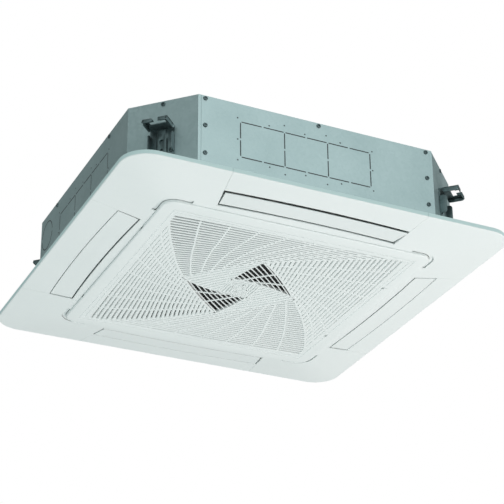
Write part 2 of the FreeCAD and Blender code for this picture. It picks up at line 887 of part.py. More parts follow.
def chamfer_tab():
    """Tongue under a chamfer, along +X, with a foot flange that takes a panel screw."""
    half = chamfer_tab_width / 2
    end = chamfer_reach - sheet
    level = foot_level
    tongue = block(end, chamfer_reach, -half, half, level, casing_bottom_level + chamfer_tab_depth)
    tab = block(end - chamfer_tab_depth, end + sheet / 2, -half, half, level, level + sheet)
    tab = joined([tongue, tab])
    hole = bar_hole(panel_screw_distance, 0, level - overrun, Vector(0, 0, 1),
                    panel_screw_radius + panel_screw_gap, sheet + 2 * overrun)
    return tab.cut(hole)


def side_sheet(corners):
    """Left or right sheet: a side and two chamfers bent from one blank, with lapped edges."""
    outer = octagon(body_half, body_half - sheet, chamfer_sum, casing_bottom_level, sheet_top)
    inner = octagon(body_half - sheet, body_half - 2 * sheet, chamfer_sum - sheet * math.sqrt(2),
                    casing_bottom_level, sheet_top)
    lap = side_half - sheet_lap
    far = body_half + overrun
    zone = block(-far, -lap, -far, far, casing_bottom_level, sheet_top)
    return outer.cut(inner), zone, [on_corner(chamfer_tab(), corner) for corner in corners]


def casing_left():
    """Left sheet with its knock-outs."""
    shell, zone, tabs = side_sheet((0, 3))
    sheet_body = joined([shell.common(zone)] + tabs)
    slots = [turned(slot, 3) for slot in knockout_slots(-left_knockout_start - knockout_cell_count * knockout_cell)]
    ring = duct_knockout()
    ring.translate(Vector(-2 * duct_knockout_offset, 0, 0))
    return sheet_body.cut(slots + [turned(ring, 3)])


def service_holes():
    """Holes round the pipes and the drain spout, from the drain pan's trough out through the right side."""
    along = Vector(1, 0, 0)
    length = body_half + overrun - trough_out
    services = [(gas_pipe_y(), gas_pipe_level, gas_pipe_radius)]
    services.append((liquid_pipe_y(), liquid_pipe_level, liquid_pipe_radius))
    services.append((-pump_side_half, spout_level(), spout_radius))
    return [bar_hole(trough_out, y, level, along, radius + pipe_hole_gap, length) for y, level, radius in services]


def casing_right():
    """Right sheet with the holes for the pipes and the drain spout."""
    shell, zone, tabs = side_sheet((1, 2))
    sheet_body = joined([shell.common(turned(zone, 2))] + tabs)
    return sheet_body.cut(service_holes())


def casing_top():
    """Top plate with a skirt inside the side sheets."""
    plate = octagon(body_half, body_half, chamfer_sum, sheet_top, casing_top_level)
    gap = sheet + skirt_gap
    half_x = body_half - gap
    half_y = body_half - gap - sheet
    diagonal = chamfer_sum - gap * math.sqrt(2)
    skirt = octagon(half_x, half_y, diagonal, skirt_bottom, sheet_top)
    hollow = octagon(half_x - sheet, half_y - sheet, diagonal - sheet * math.sqrt(2), skirt_bottom, sheet_top)
    return joined([plate, skirt.cut(hollow)])


def hanger_bracket():
    """Hanger bracket on a chamfer, along +X: web, two wings and a flange with an open T slot."""
    start = chamfer_reach
    half = bracket_width / 2
    top = bracket_top_level
    under = top - bracket_sheet
    web = block(start, start + bracket_sheet, -half, half, top - bracket_web_height, top)
    flange = block(start, start + bracket_reach, -half, half, under, top)
    lip = block(start + bracket_reach - bracket_sheet, start + bracket_reach, -half, half,
                top - bracket_lip, top)
    wing_points = [Vector(start, -half, top), Vector(start + bracket_wing_reach, -half, top)]
    wing_points.append(Vector(start + bracket_wing_reach, -half, top - bracket_wing_height / 2))
    wing_points.append(Vector(start, -half, top - bracket_wing_height))
    wing = Part.Face(Part.makePolygon(wing_points + wing_points[:1])).extrude(Vector(0, bracket_sheet, 0))
    other = wing.copy()
    other.translate(Vector(0, bracket_width - bracket_sheet, 0))
    body = joined([web, flange, lip, wing, other])
    slot_end = bracket_slot_from + bracket_slot_depth
    wide = block(start + bracket_slot_from, start + slot_end, -bracket_slot_width / 2,
                 bracket_slot_width / 2, under - overrun, top + overrun)
    mouth = block(start + slot_end, start + bracket_reach + overrun, -bracket_mouth / 2,
                  bracket_mouth / 2, top - bracket_lip - overrun, top + overrun)
    return body.cut([wide, mouth])


def insulation_liner():
    """Foam liner inside the casing's sides."""
    diagonal = liner_sum
    outer = octagon(liner_half, liner_half, diagonal, pan_top_level, skirt_bottom)
    inner = octagon(liner_half - liner_thickness, liner_half - liner_thickness,
                    diagonal - liner_thickness * math.sqrt(2), pan_top_level, skirt_bottom)
    return outer.cut(inner).cut(service_holes())


def drain_pan():
    """Foam drain pan: octagon with a trough, four air slots, a sump and the bell mouth's ledge."""
    gap = 2 * sheet + pan_gap
    low = pan_bottom_level
    high = pan_top_level
    pan = octagon(body_half - gap, body_half - gap, chamfer_sum - gap * math.sqrt(2), low, high)
    trough = rounded_square(trough_out, coil_corner + coil_trough_margin, pan_floor_level, high)
    trough = trough.cut(rounded_square(trough_in, pan_corner + pan_wall, pan_floor_level, high))
    slot_half = outlet_inner_half + pan_slot_lap
    slot = block(-slot_half, slot_half, -(outlet_out - pan_slot_margin), -(outlet_in - pan_slot_lap),
                 low, high)
    slots = [turned(slot, quarter) for quarter in range(4)]
    sump_low = pan_floor_level - sump_deeper
    half = sump_width / 2
    sump = block(trough_out - coil_trough_margin, pump_x + half, -pump_side_half - half,
                 -pump_side_half + half, sump_low, high)
    hole = rounded_square(pan_hole, pan_corner, bell_level, high)
    mouth = rounded_square(pan_hole - pan_ledge, pan_corner - pan_ledge, low, bell_level)
    return pan.cut([trough, sump, hole, mouth] + slots)


def coil_fins():
    """Fin pack bent round the fan, open at the back right corner for the pipework."""
    ring = rounded_square(coil_out, coil_corner, pan_floor_level, coil_top)
    ring = ring.cut(rounded_square(coil_in, coil_corner - coil_depth, pan_floor_level, coil_top))
    far = coil_out + overrun
    return ring.cut(block(coil_gap_half, far, coil_gap_half, far, pan_floor_level, coil_top))


def coil_end_plates():
    """Tube plates on the two ends of the fin pack."""
    low = pan_floor_level
    back = block(coil_gap_half, coil_gap_half + end_plate, coil_in, coil_out, low, coil_top)
    right = block(coil_in, coil_out, coil_gap_half, coil_gap_half + end_plate, low, coil_top)
    return Part.makeCompound([back, right])


def return_bend(x, y, z, facing_x):
    """Half-round return bend that joins two tubes, one above the other."""
    out = Vector(1, 0, 0) if facing_x else Vector(0, 1, 0)
    across = Vector(0, 1, 0) if facing_x else Vector(1, 0, 0)
    rings = []
    for step in range(bend_steps + 1):
        turn = math.radians(180 * step / bend_steps - 90)
        spoke = out * math.cos(turn) + Vector(0, 0, math.sin(turn))
        ring = []
        for side in range(bend_sides):
            angle = math.radians(360 * side / bend_sides)
            radial = spoke * (bend_radius + bend_pipe_radius * math.cos(angle))
            ring.append(Vector(x, y, z) + radial + across * (bend_pipe_radius * math.sin(angle)))
        rings.append(ring)
    return skinned(rings)


def coil_bends():
    """Return bends on the outer row of both end plates."""
    start = coil_gap_half + end_plate
    row = coil_out - coil_depth / 4
    height = coil_top - pan_floor_level
    bends = []
    for share in bend_level_shares:
        level = pan_floor_level + share * height
        bends.append(return_bend(start, row, level, True))
        bends.append(return_bend(row, start, level, False))
    return Part.makeCompound(bends)


def gas_pipe_y():
    """Place of the gas pipe along Y."""
    return coil_gap_half + end_plate + header_standoff


def liquid_pipe_y():
    """Place of the liquid pipe along Y."""
    return coil_in + coil_depth / 4


def flare_nut(y, level, radius):
    """Hexagonal flare nut on a pipe, seated on the right sheet."""
    reach = radius * union_nut_share
    corners = []
    for side in range(6):
        angle = math.radians(60 * side)
        corners.append(Vector(body_half, y + reach * math.cos(angle), level + reach * math.sin(angle)))
    return Part.Face(Part.makePolygon(corners + corners[:1])).extrude(Vector(union_length, 0, 0))


def gas_pipe():
    """Gas header with feeders from the right end plate, and the pipe out through the right side."""
    x = coil_in + coil_depth / 4
    y = gas_pipe_y()
    low = pan_floor_level + header_end_gap
    high = coil_top - header_end_gap
    header = bar(x, y, low, Vector(0, 0, 1), gas_header_radius, high - low)
    pieces = [header]
    for share in feeder_level_shares:
        level = low + share * (high - low)
        pieces.append(block(x - feeder_half, x + feeder_half, coil_gap_half + end_plate, y,
                            level - feeder_half, level + feeder_half))
    pieces.append(rod(x, y, gas_pipe_level, Vector(1, 0, 0), gas_pipe_radius, body_half + pipe_reach - x))
    pieces.append(flare_nut(y, gas_pipe_level, gas_pipe_radius))
    return joined(pieces)


def liquid_pipe():
    """Liquid header with feeders from the back end plate, and the pipe out through the right side."""
    x = coil_gap_half + end_plate + header_standoff
    y = liquid_pipe_y()
    low = pan_floor_level + header_end_gap
    high = coil_top - header_end_gap
    header = bar(x, y, low, Vector(0, 0, 1), liquid_header_radius, high - low)
    pieces = [header]
    for share in feeder_level_shares:
        level = low + share * (high - low)
        pieces.append(block(coil_gap_half + end_plate, x, y - feeder_half, y + feeder_half,
                            level - feeder_half, level + feeder_half))
    reach = body_half + pipe_reach - x
    pieces.append(rod(x, y, liquid_pipe_level, Vector(1, 0, 0), liquid_pipe_radius, reach))
    pieces.append(flare_nut(y, liquid_pipe_level, liquid_pipe_radius))
    return joined(pieces)


def spout_level():
    """Height of the drain spout's axis."""
    return pump_level + spout_rise


def drain_pump():
    """Drain pump hung from the top plate over the sump."""
    y = -pump_side_half
    up = Vector(0, 0, 1)
    body = bar(pump_x, y, pump_level, up, pump_radius, pump_height)
    nozzle_low = pan_floor_level - sump_deeper + pump_nozzle_gap
    nozzle = bar(pump_x, y, nozzle_low, up, pump_nozzle_radius, pump_level - nozzle_low + overrun)
    half = pump_post / 2
    post = block(pump_x - half, pump_x + half, y - half, y + half, pump_level, sheet_top)
    socket = rod(pump_x + pump_radius / 2, y, spout_level(), Vector(1, 0, 0), spout_radius + seat_clearance,
                 pump_radius)
    return joined([body, nozzle, post]).cut(socket)


def drain_spout():
    """Drain spout from the pump out through the right side, with a flange on the sheet."""
    start = pump_x + pump_radius / 2
    length = body_half + spout_reach - start
    along = Vector(1, 0, 0)
    tube = rod(start, -pump_side_half, spout_level(), along, spout_radius, length)
    flange = bar(body_half, -pump_side_half, spout_level(), along, spout_flange_radius, spout_flange)
    bore = bar(start, -pump_side_half, spout_level(), along, spout_radius - spout_wall, length)
    return joined([tube, flange]).cut(bore)


def bell_mouth():
    """Square plate with a rounded throat that leads air into the fan."""
    half = pan_hole - bell_gap
    plate = rounded_square(half, pan_corner - bell_gap, bell_level, bell_level + bell_plate)
    throat = [polar(bell_mouth_radius, 360 * side / turn_sides) for side in range(turn_sides)]
    plate = plate.cut(prism(throat, bell_level, bell_level + bell_plate))
    outline = []
    for radius, steps in ((bell_curve + bell_plate, range(bell_steps + 1)),
                          (bell_curve, range(bell_steps, -1, -1))):
        for step in steps:
            angle = math.radians(90 * step / bell_steps)
            outline.append((bell_mouth_radius - radius * math.sin(angle), bell_top - radius * math.cos(angle)))
    return joined([plate, revolve(outline)])


def polar(radius, angle):
    """Plan point at a radius and an angle in degrees."""
    return radius * math.cos(math.radians(angle)), radius * math.sin(math.radians(angle))


def fan_blade(low, high):
    """One backward-curved blade of even thickness."""
    tip = fan_radius - blade_tip_inset
    front = []
    back = []
    for step in range(blade_steps + 1):
        share = step / blade_steps
        radius = blade_inner_radius + share * (tip - blade_inner_radius)
        angle = -blade_sweep_angle * share ** blade_sweep_power
        front.append(polar(radius, angle))
        back.append(polar(radius, angle + math.degrees(blade_thickness / radius)))
    return prism(front + back[::-1], low, high)


def turbo_fan():
    """Turbo fan: hub sunk round the motor, back plate, swept blades and an inlet ring."""
    plate_low = fan_plate_top - fan_plate
    bore = shaft_bore
    hub = revolve([(bore, boss_bottom), (boss_radius, boss_bottom), (boss_radius, hub_level),
                   (hub_radius, hub_level), (hub_cone_radius, plate_low), (fan_radius, plate_low),
                   (fan_radius, fan_plate_top), (hub_cone_radius - fan_plate, fan_plate_top),
                   (hub_radius - fan_plate, hub_level + fan_plate), (bore, hub_level + fan_plate)])
    mouth = bell_mouth_radius - bell_curve + fan_ring_gap
    rim_top = fan_bottom + fan_ring_rise
    ring = revolve([(mouth, fan_bottom), (mouth + fan_ring_wall, fan_bottom),
                    (fan_radius, rim_top - fan_ring_wall), (fan_radius, rim_top)])
    blade = fan_blade(bell_top + fan_overlap, plate_low + fan_plate / 2)
    half_wall = fan_ring_wall / 2
    under = revolve([(mouth + half_wall, fan_bottom), (fan_radius, fan_bottom),
                     (fan_radius, rim_top - half_wall)])
    blade = blade.cut(under)
    blades = []
    for number in range(fan_blade_count):
        copy = blade.copy()
        copy.rotate(Vector(0, 0, 0), Vector(0, 0, 1), 360 * number / fan_blade_count)
        blades.append(copy)
    return joined([hub, ring] + blades)


def motor_shaft():
    """Motor shaft through the fan's hub."""
    low = boss_bottom - shaft_end
    return rod(0, 0, low, Vector(0, 0, 1), shaft_radius, motor_bottom + shaft_grip - low)


def fan_motor():
    """Fan motor with three mounting lugs."""
    bore = shaft_bore
    body = revolve([(bore, motor_bottom), (motor_radius - motor_round, motor_bottom),
                    (motor_radius, motor_bottom + motor_round), (motor_radius, motor_top), (bore, motor_top)])
    lugs = []
    for number in range(motor_lug_count):
        half = motor_lug_width / 2
        lug = block(motor_radius - motor_round, motor_lug_reach, -half, half, lug_top - motor_lug_thickness, lug_top)
        lug.rotate(Vector(0, 0, 0), Vector(0, 0, 1), 360 * number / motor_lug_count)
        lugs.append(lug)
    return joined([body] + lugs)


def motor_bushes():
    """Rubber bushes between the motor's lugs and the top plate."""
    bushes = []
    for number in range(motor_lug_count):
        x, y = polar(motor_lug_reach - bush_inset, 360 * number / motor_lug_count)
        bushes.append(bar(x, y, lug_top, Vector(0, 0, 1), bush_radius, sheet_top - lug_top))
    return Part.makeCompound(bushes)


def box_outer_x():
    """Outer side of the electrical box along X."""
    return pan_hole - pan_ledge - box_edge_gap


def box_floor():
    """Lower edge of the electrical box."""
    return bell_level - box_height


def box_inner_x():
    """Inner side of the electrical box along X."""
    return box_outer_x() - box_width


def box_half_length():
    """Half length of the electrical box."""
    return box_length_share * pan_hole


def electrical_box():
    """Electrical box under the bell mouth, open below, with stand-offs for the board."""
    low = box_floor()
    half = box_half_length()
    shell = block(box_inner_x(), box_outer_x(), -half, half, low, bell_level)
    shell = shell.cut(block(box_inner_x() + sheet, box_outer_x() - sheet, -half + sheet, half - sheet,
                            low - overrun, bell_level - sheet))
    inset = board_margin + standoff_inset
    posts = []
    for x in (box_inner_x() + inset, box_outer_x() - inset):
        for y in (-half + inset, half - inset):
            level = bell_level - sheet - standoff_height
            posts.append(block(x - standoff_half, x + standoff_half, y - standoff_half, y + standoff_half,
                               level, bell_level - sheet / 2))
    return joined([shell] + posts)


def electrical_cover():
    """Flat cover under the electrical box."""
    low = box_floor()
    half = box_half_length()
    return block(box_inner_x(), box_outer_x(), -half, half, low - sheet, low)


def board_level():
    """Lower face of the circuit board."""
    return bell_level - sheet - standoff_height - board_thickness


def circuit_board():
    """Circuit board under the stand-offs."""
    half = box_half_length() - board_margin
    level = board_level()
    return block(box_inner_x() + board_margin, box_outer_x() - board_margin, -half, half, level,
                 level + board_thickness)


def terminal_block():
    """Terminal block on the circuit board, with a row of wire slots."""
    middle = (box_inner_x() + box_outer_x()) / 2
    high = board_level()
    low = high - terminal_height
    half_x = terminal_width / 2
    half_y = terminal_length / 2
    body = block(middle - half_x, middle + half_x, -half_y, half_y, low, high)
    step = terminal_length / terminal_bay_count
    slots = []
    for bay in range(terminal_bay_count):
        place = -half_y + (bay + 1 / 2) * step
        slots.append(block(middle - half_x, middle + half_x, place - terminal_slot / 2,
                           place + terminal_slot / 2, low, low + terminal_height / 2))
    return body.cut(slots)


def cable_grommet():
    """Rubber grommet for the supply cable in the back sheet."""
    along = Vector(0, 1, 0)
    back = body_half
    sleeve = bar(grommet_offset, back - sheet, grommet_level, along, grommet_radius, sheet + grommet_reach)
    bore = rod(grommet_offset, back - sheet, grommet_level, along, grommet_bore, sheet + grommet_reach)
    return sleeve.cut(bore)


def build():
    """Every sub-part by its node's name."""
    sides = ("front", "right", "back", "left")
    corners = ("front_left", "front_right", "back_right", "back_left")
    parts = {
        "casing_front": casing_front(),
        "casing_back": casing_back(),
        "casing_left": casing_left(),
        "casing_right": casing_right(),
        "casing_top": casing_top(),
        "insulation_liner": insulation_liner(),
        "drain_pan": drain_pan(),
        "coil_fins": coil_fins(),
        "coil_end_plates": coil_end_plates(),
        "coil_bends": coil_bends(),
        "gas_pipe": gas_pipe(),
        "liquid_pipe": liquid_pipe(),
        "drain_pump": drain_pump(),
        "drain_spout": drain_spout(),
        "bell_mouth": bell_mouth(),
        "turbo_fan": turbo_fan(),
        "motor_shaft": motor_shaft(),
        "fan_motor": fan_motor(),
        "motor_bushes": motor_bushes(),
        "electrical_box": electrical_box(),
        "electrical_cover": electrical_cover(),
        "circuit_board": circuit_board(),
        "terminal_block": terminal_block(),
        "cable_grommet": cable_grommet(),
        "panel_frame": panel_frame(),
        "panel_seal": panel_seal(),
        "intake_grille": intake_grille(),
        "grille_hinge_pins": hinge_pins(),
        "grille_latch_front": grille_latch(-1),
        "grille_latch_back": grille_latch(1),
        "filter_frame": filter_frame(),
        "filter_mesh": filter_mesh(),
    }
    bracket = hanger_bracket()
    cover = corner_cover()
    blade = flap()
    motor = flap_motor()
    for quarter in range(4):
        parts["hanger_bracket_" + corners[quarter]] = on_corner(bracket, quarter)
        parts["corner_cover_" + corners[quarter]] = turned(cover, quarter)
        parts["flap_" + sides[quarter]] = turned(blade, quarter)
        parts["flap_motor_" + sides[quarter]] = turned(motor, quarter)
    return parts


os.makedirs("parts", exist_ok=True)
for node, solid in build().items():
    solid.exportStep("parts/" + node + ".step")
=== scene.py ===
"""Looks of a four-way ceiling cassette air conditioner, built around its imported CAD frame.

Sizes are in millimetres in the classes and in metres on the meshes. +Z points up into the ceiling
void, -Y is the front of the casing and +X its right side.
"""

import json
import logging
import math
from abc import ABC, abstractmethod
from dataclasses import dataclass, field, replace
from enum import Enum
from typing import Any, Callable, ClassVar, Iterable, Optional, Sequence, Union

import bmesh
import bpy
from mathutils import Matrix, Vector

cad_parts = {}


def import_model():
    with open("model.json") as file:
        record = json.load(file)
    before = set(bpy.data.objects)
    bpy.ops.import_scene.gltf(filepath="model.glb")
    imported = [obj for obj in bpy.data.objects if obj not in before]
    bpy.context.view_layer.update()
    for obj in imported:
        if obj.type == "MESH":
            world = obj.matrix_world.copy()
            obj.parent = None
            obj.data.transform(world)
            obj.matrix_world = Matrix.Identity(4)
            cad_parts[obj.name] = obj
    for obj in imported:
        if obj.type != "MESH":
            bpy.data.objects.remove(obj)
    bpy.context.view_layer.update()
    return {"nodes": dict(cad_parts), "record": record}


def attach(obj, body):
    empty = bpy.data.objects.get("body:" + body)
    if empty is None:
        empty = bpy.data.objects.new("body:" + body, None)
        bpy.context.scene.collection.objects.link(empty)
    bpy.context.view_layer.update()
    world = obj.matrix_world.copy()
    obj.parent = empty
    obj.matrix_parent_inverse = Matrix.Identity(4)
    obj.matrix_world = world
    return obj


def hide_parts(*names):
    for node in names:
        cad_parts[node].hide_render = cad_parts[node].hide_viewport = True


LOG = logging.getLogger("cassette")
MM = 0.001
Point = Sequence[float]
Colour = tuple[float, float, float]
Ring = tuple[float, float, float]
WallPlace = tuple[float, float, float, float]
Number = Union[float, "Value"]


class Side(Enum):
    """The four sides in quarter turns from the front."""

    FRONT = 0
    RIGHT = 1
    BACK = 2
    LEFT = 3


class Corner(Enum):
    """The four corners in quarter turns from the front left one."""

    FRONT_LEFT = 0
    FRONT_RIGHT = 1
    BACK_RIGHT = 2
    BACK_LEFT = 3


class Keep(Enum):
    """What a boolean step keeps of a piece."""

    OUTSIDE = "DIFFERENCE"
    INSIDE = "INTERSECT"


class Bench:
    """One mesh on the modelling bench, shaped by operators, with lengths in millimetres."""

    def __init__(self, name: str) -> None:
        """Take the active object onto the bench under a name."""
        self.obj: bpy.types.Object = bpy.context.active_object
        self.obj.name = name
        self.obj.data.name = name

    @staticmethod
    def clear() -> None:
        """Leave edit mode and deselect everything."""
        if bpy.context.mode != "OBJECT":
            bpy.ops.object.mode_set(mode="OBJECT")
        bpy.ops.object.select_all(action="DESELECT")

    @classmethod
    def block(cls, name: str, low: Point, high: Point) -> "Bench":
        """Start from a cube primitive between two corners.

        Args:
            name: name of the new object.
            low: lowest corner.
            high: highest corner.

        Returns:
            The bench with the block on it.
        """
        cls.clear()
        bpy.ops.mesh.primitive_cube_add(size=1)
        return cls(name)._place(low, high)

    @classmethod
    def square(cls, name: str, half: float, low: float, high: float) -> "Bench":
        """Start from a square block round the Z axis."""
        return cls.block(name, (-half, -half, low), (half, half, high))

    @classmethod
    def sheet(cls, name: str, low: Point, high: Point, columns: int = 1) -> "Bench":
        """Start from a flat grid primitive between two corners.

        Args:
            name: name of the new object.
            low: lowest corner.
            high: highest corner, at the same level.
            columns: divisions along X.

        Returns:
            The bench with the sheet on it.
        """
        cls.clear()
        bpy.ops.mesh.primitive_grid_add(x_subdivisions=columns, y_subdivisions=1, size=1)
        return cls(name)._place(low, high)

    @classmethod
    def drum(cls, name: str, centre: Point, radius: float, low: float, high: float, sides: int) -> "Bench":
        """Start from an upright cylinder primitive.

        Args:
            name: name of the new object.
            centre: plan place of the axis.
            radius: radius of the drum.
            low: lower end.
            high: upper end.
            sides: number of sides.

        Returns:
            The bench with the drum on it.
        """
        cls.clear()
        bpy.ops.mesh.primitive_cylinder_add(vertices=sides, radius=0.5, depth=1)
        corner, reach = Vector((centre[0], centre[1], 0)), Vector((radius, radius, 0))
        first, last = corner - reach + Vector((0, 0, low)), corner + reach + Vector((0, 0, high))
        return cls(name)._place(first, last)

    def _place(self, low: Point, high: Point) -> "Bench":
        """Size and move a unit primitive in edit mode so that it fills a box.

        Args:
            low: lowest corner of the box.
            high: highest corner of the box.

        Returns:
            The bench itself.
        """
        low, high = Vector(low), Vector(high)
        self.edit()
        bpy.ops.mesh.select_all(action="SELECT")
        size = (high - low) * MM
        bpy.ops.transform.resize(value=(size.x, size.y, size.z or 1), center_override=(0, 0, 0))
        bpy.ops.transform.translate(value=(low + high) * (MM / 2))
        return self

    def alone(self) -> None:
        """Leave edit mode and make the piece the only selected one and the active one."""
        self.clear()
        self.obj.select_set(True)
        bpy.context.view_layer.objects.active = self.obj

    def edit(self) -> None:
        """Make the piece the only selected one and enter edit mode."""
        if bpy.context.mode == "EDIT_MESH" and bpy.context.active_object == self.obj:
            return
        self.alone()
        bpy.ops.object.mode_set(mode="EDIT")

    def pick(self, test: Callable[[Vector], bool], kind: str = "VERT") -> "Bench":
        """Select vertices by place, or edges and faces by the place of their middle.

        Args:
            test: says whether a place in millimetres is wanted.
            kind: VERT, EDGE or FACE.

        Returns:
            The bench itself.
        """
        self.edit()
        bpy.ops.mesh.select_mode(type=kind)
        bpy.ops.mesh.select_all(action="DESELECT")
        mesh = bmesh.from_edit_mesh(self.obj.data)
        if kind == "VERT":
            chosen = [v for v in mesh.verts if test(v.co / MM)]
        elif kind == "EDGE":
            chosen = [e for e in mesh.edges if test((e.verts[0].co + e.verts[1].co) / (2 * MM))]
        else:
            chosen = [f for f in mesh.faces if test(f.calc_center_median() / MM)]
        for item in chosen:
            item.select_set(True)
        mesh.select_flush_mode()
        bmesh.update_edit_mesh(self.obj.data)
        return self

    def rim(self, test: Callable[[Vector], bool]) -> "Bench":
        """Select the edges round the faces whose middle passes a test."""
        self.pick(test, "FACE")
        bpy.ops.mesh.region_to_loop()
        return self

    def selected(self) -> list[int]:
        """Numbers of the selected vertices."""
        return [v.index for v in bmesh.from_edit_mesh(self.obj.data).verts if v.select]

    def among(self, numbers: Sequence[int], test: Callable[[Vector], bool]) -> "Bench":
        """Select some of the numbered vertices and deselect the others of them.

        Args:
            numbers: the vertices' numbers.
            test: says whether a place in millimetres is wanted.

        Returns:
            The bench itself.
        """
        mesh = bmesh.from_edit_mesh(self.obj.data)
        mesh.verts.ensure_lookup_table()
        for number in numbers:
            vertex = mesh.verts[number]
            vertex.select_set(test(vertex.co / MM))
        mesh.select_flush_mode()
        bmesh.update_edit_mesh(self.obj.data)
        return self

    def pick_all(self) -> "Bench":
        """Select the whole mesh."""
        self.edit()
        bpy.ops.mesh.select_all(action="SELECT")
        return self

    def extrude(self, step: Point) -> "Bench":
        """Extrude the selection by a step."""
        bpy.ops.mesh.extrude_region_move(TRANSFORM_OT_translate={"value": Vector(step) * MM})
        return self

    def move(self, step: Point) -> "Bench":
        """Move the selection by a step."""
        bpy.ops.transform.translate(value=Vector(step) * MM)
        return self

    def scale(self, shares: Point, centre: Point) -> "Bench":
        """Scale the selection about a place."""
        bpy.ops.transform.resize(value=shares, center_override=Vector(centre) * MM)
        return self

    def bevel(self, width: float, steps: int, corners: bool = False) -> "Bench":
        """Round the selected edges, or the selected vertices of a flat outline."""
        kind = "VERTICES" if corners else "EDGES"
        bpy.ops.mesh.bevel(offset=width * MM, segments=steps, affect=kind)
        return self

    def slice(self, place: Point, normal: Point) -> "Bench":
        """Cut the piece with a plane, and drop and close the side that the normal points to.

        Args:
            place: a point of the plane.
            normal: the plane's normal.

        Returns:
            The bench itself.
        """
        self.pick_all()
        bpy.ops.mesh.bisect(plane_co=Vector(place) * MM, plane_no=normal, use_fill=True, clear_outer=True)
        return self

    def delete(self, kind: str) -> "Bench":
        """Delete the selection as VERT, EDGE, FACE or ONLY_FACE."""
        bpy.ops.mesh.delete(type=kind)
        return self

    def tidy(self) -> "Bench":
        """Merge doubles and turn the faces outwards."""
        self.pick_all()
        bpy.ops.mesh.remove_doubles(threshold=MM / 1000)
        bpy.ops.mesh.normals_make_consistent(inside=False)
        return self

    def modify(self, kind: str, **settings: Any) -> "Bench":
        """Add a modifier with its settings and apply it.

        Args:
            kind: the modifier's type.
            settings: its properties by name.

        Returns:
            The bench itself.
        """
        self.alone()
        bpy.ops.object.modifier_add(type=kind)
        modifier = self.obj.modifiers[-1]
        for name, value in settings.items():
            setattr(modifier, name, value)
        bpy.ops.object.modifier_apply(modifier=modifier.name)
        return self

    def carve(self, tool: "Bench", keep: Keep = Keep.OUTSIDE) -> "Bench":
        """Cut the piece with another one, which is used up.

        Args:
            tool: the other piece.
            keep: what is kept, outside or inside the tool.

        Returns:
            The bench itself.
        """
        tool.tidy()
        self.tidy()
        self.modify("BOOLEAN", operation=keep.value, object=tool.obj, solver="EXACT")
        bpy.data.objects.remove(tool.obj)
        return self

    def soften(self, width: float, steps: int = 2, angle: float = 35.0) -> "Bench":
        """Round every edge sharper than an angle."""
        return self.modify("BEVEL", width=width * MM, segments=steps, limit_method="ANGLE",
                           angle_limit=math.radians(angle), use_clamp_overlap=True)

    def smooth(self, angle: float = 32.0) -> "Bench":
        """Shade the piece smooth up to an angle."""
        self.alone()
        bpy.ops.object.shade_smooth_by_angle(angle=math.radians(angle))
        return self

    def flatten(self) -> "Bench":
        """Let the largest faces set the shading, so that flat faces look flat."""
        return self.modify("WEIGHTED_NORMAL", keep_sharp=True)

    def copied(self, name: str) -> "Bench":
        """Copy the piece with its own mesh."""
        self.alone()
        bpy.ops.object.duplicate()
        return Bench(name)

    def settle(self) -> "Bench":
        """Take the object's place, turn and scale into the mesh."""
        bpy.ops.object.transform_apply(location=True, rotation=True, scale=True)
        return self

    def turned(self, name: str, degrees: float, axis: str = "Z", centre: Point = (0, 0, 0)) -> "Bench":
        """Copy the piece with its own mesh, turned about an axis through a place.

        Args:
            name: name of the copy.
            degrees: angle of the turn.
            axis: X, Y or Z.
            centre: a place on the axis.

        Returns:
            The bench with the copy on it.
        """
        copy = self.copied(name)
        angle, middle = math.radians(degrees), Vector(centre) * MM
        copy.obj.rotation_euler["XYZ".index(axis)] = angle
        copy.obj.location = middle - Matrix.Rotation(angle, 3, axis) @ middle
        return copy.settle()

    def lay(self, place: Matrix) -> "Bench":
        """Place the mesh by a matrix in metres."""
        self.alone()
        self.obj.matrix_world = place
        return self.settle()

    def shifted(self, name: str, place: Matrix) -> "Bench":
        """Copy the piece with its own mesh, placed by a matrix in metres."""
        return self.copied(name).lay(place)

    def drop(self) -> None:
        """Throw the piece away."""
        self.clear()
        bpy.data.objects.remove(self.obj)

    def join(self, others: Iterable["Bench"]) -> "Bench":
        """Take other pieces into this mesh.

        Args:
            others: the pieces, which are used up.

        Returns:
            The bench itself.
        """
        self.alone()
        for other in others:
            other.obj.select_set(True)
        bpy.ops.object.join()
        return self

    def finish(self, material: bpy.types.Material, body: str, slot: str,
               replaces: Sequence[str] = ()) -> None:
        """Give the piece its material and body, and hide the CAD nodes it stands for.

        Args:
            material: the finish of the piece.
            body: the CAD body that it moves with.
            slot: the record's material slot; not used.
            replaces: CAD nodes that the piece hides.
        """
        self.clear()
        self.obj.data.materials.clear()
        self.obj.data.materials.append(material)
        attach(self.obj, body)
        if replaces:
            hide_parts(*replaces)
        LOG.info("%s: %d faces on %s", self.obj.name, len(self.obj.data.polygons), body)


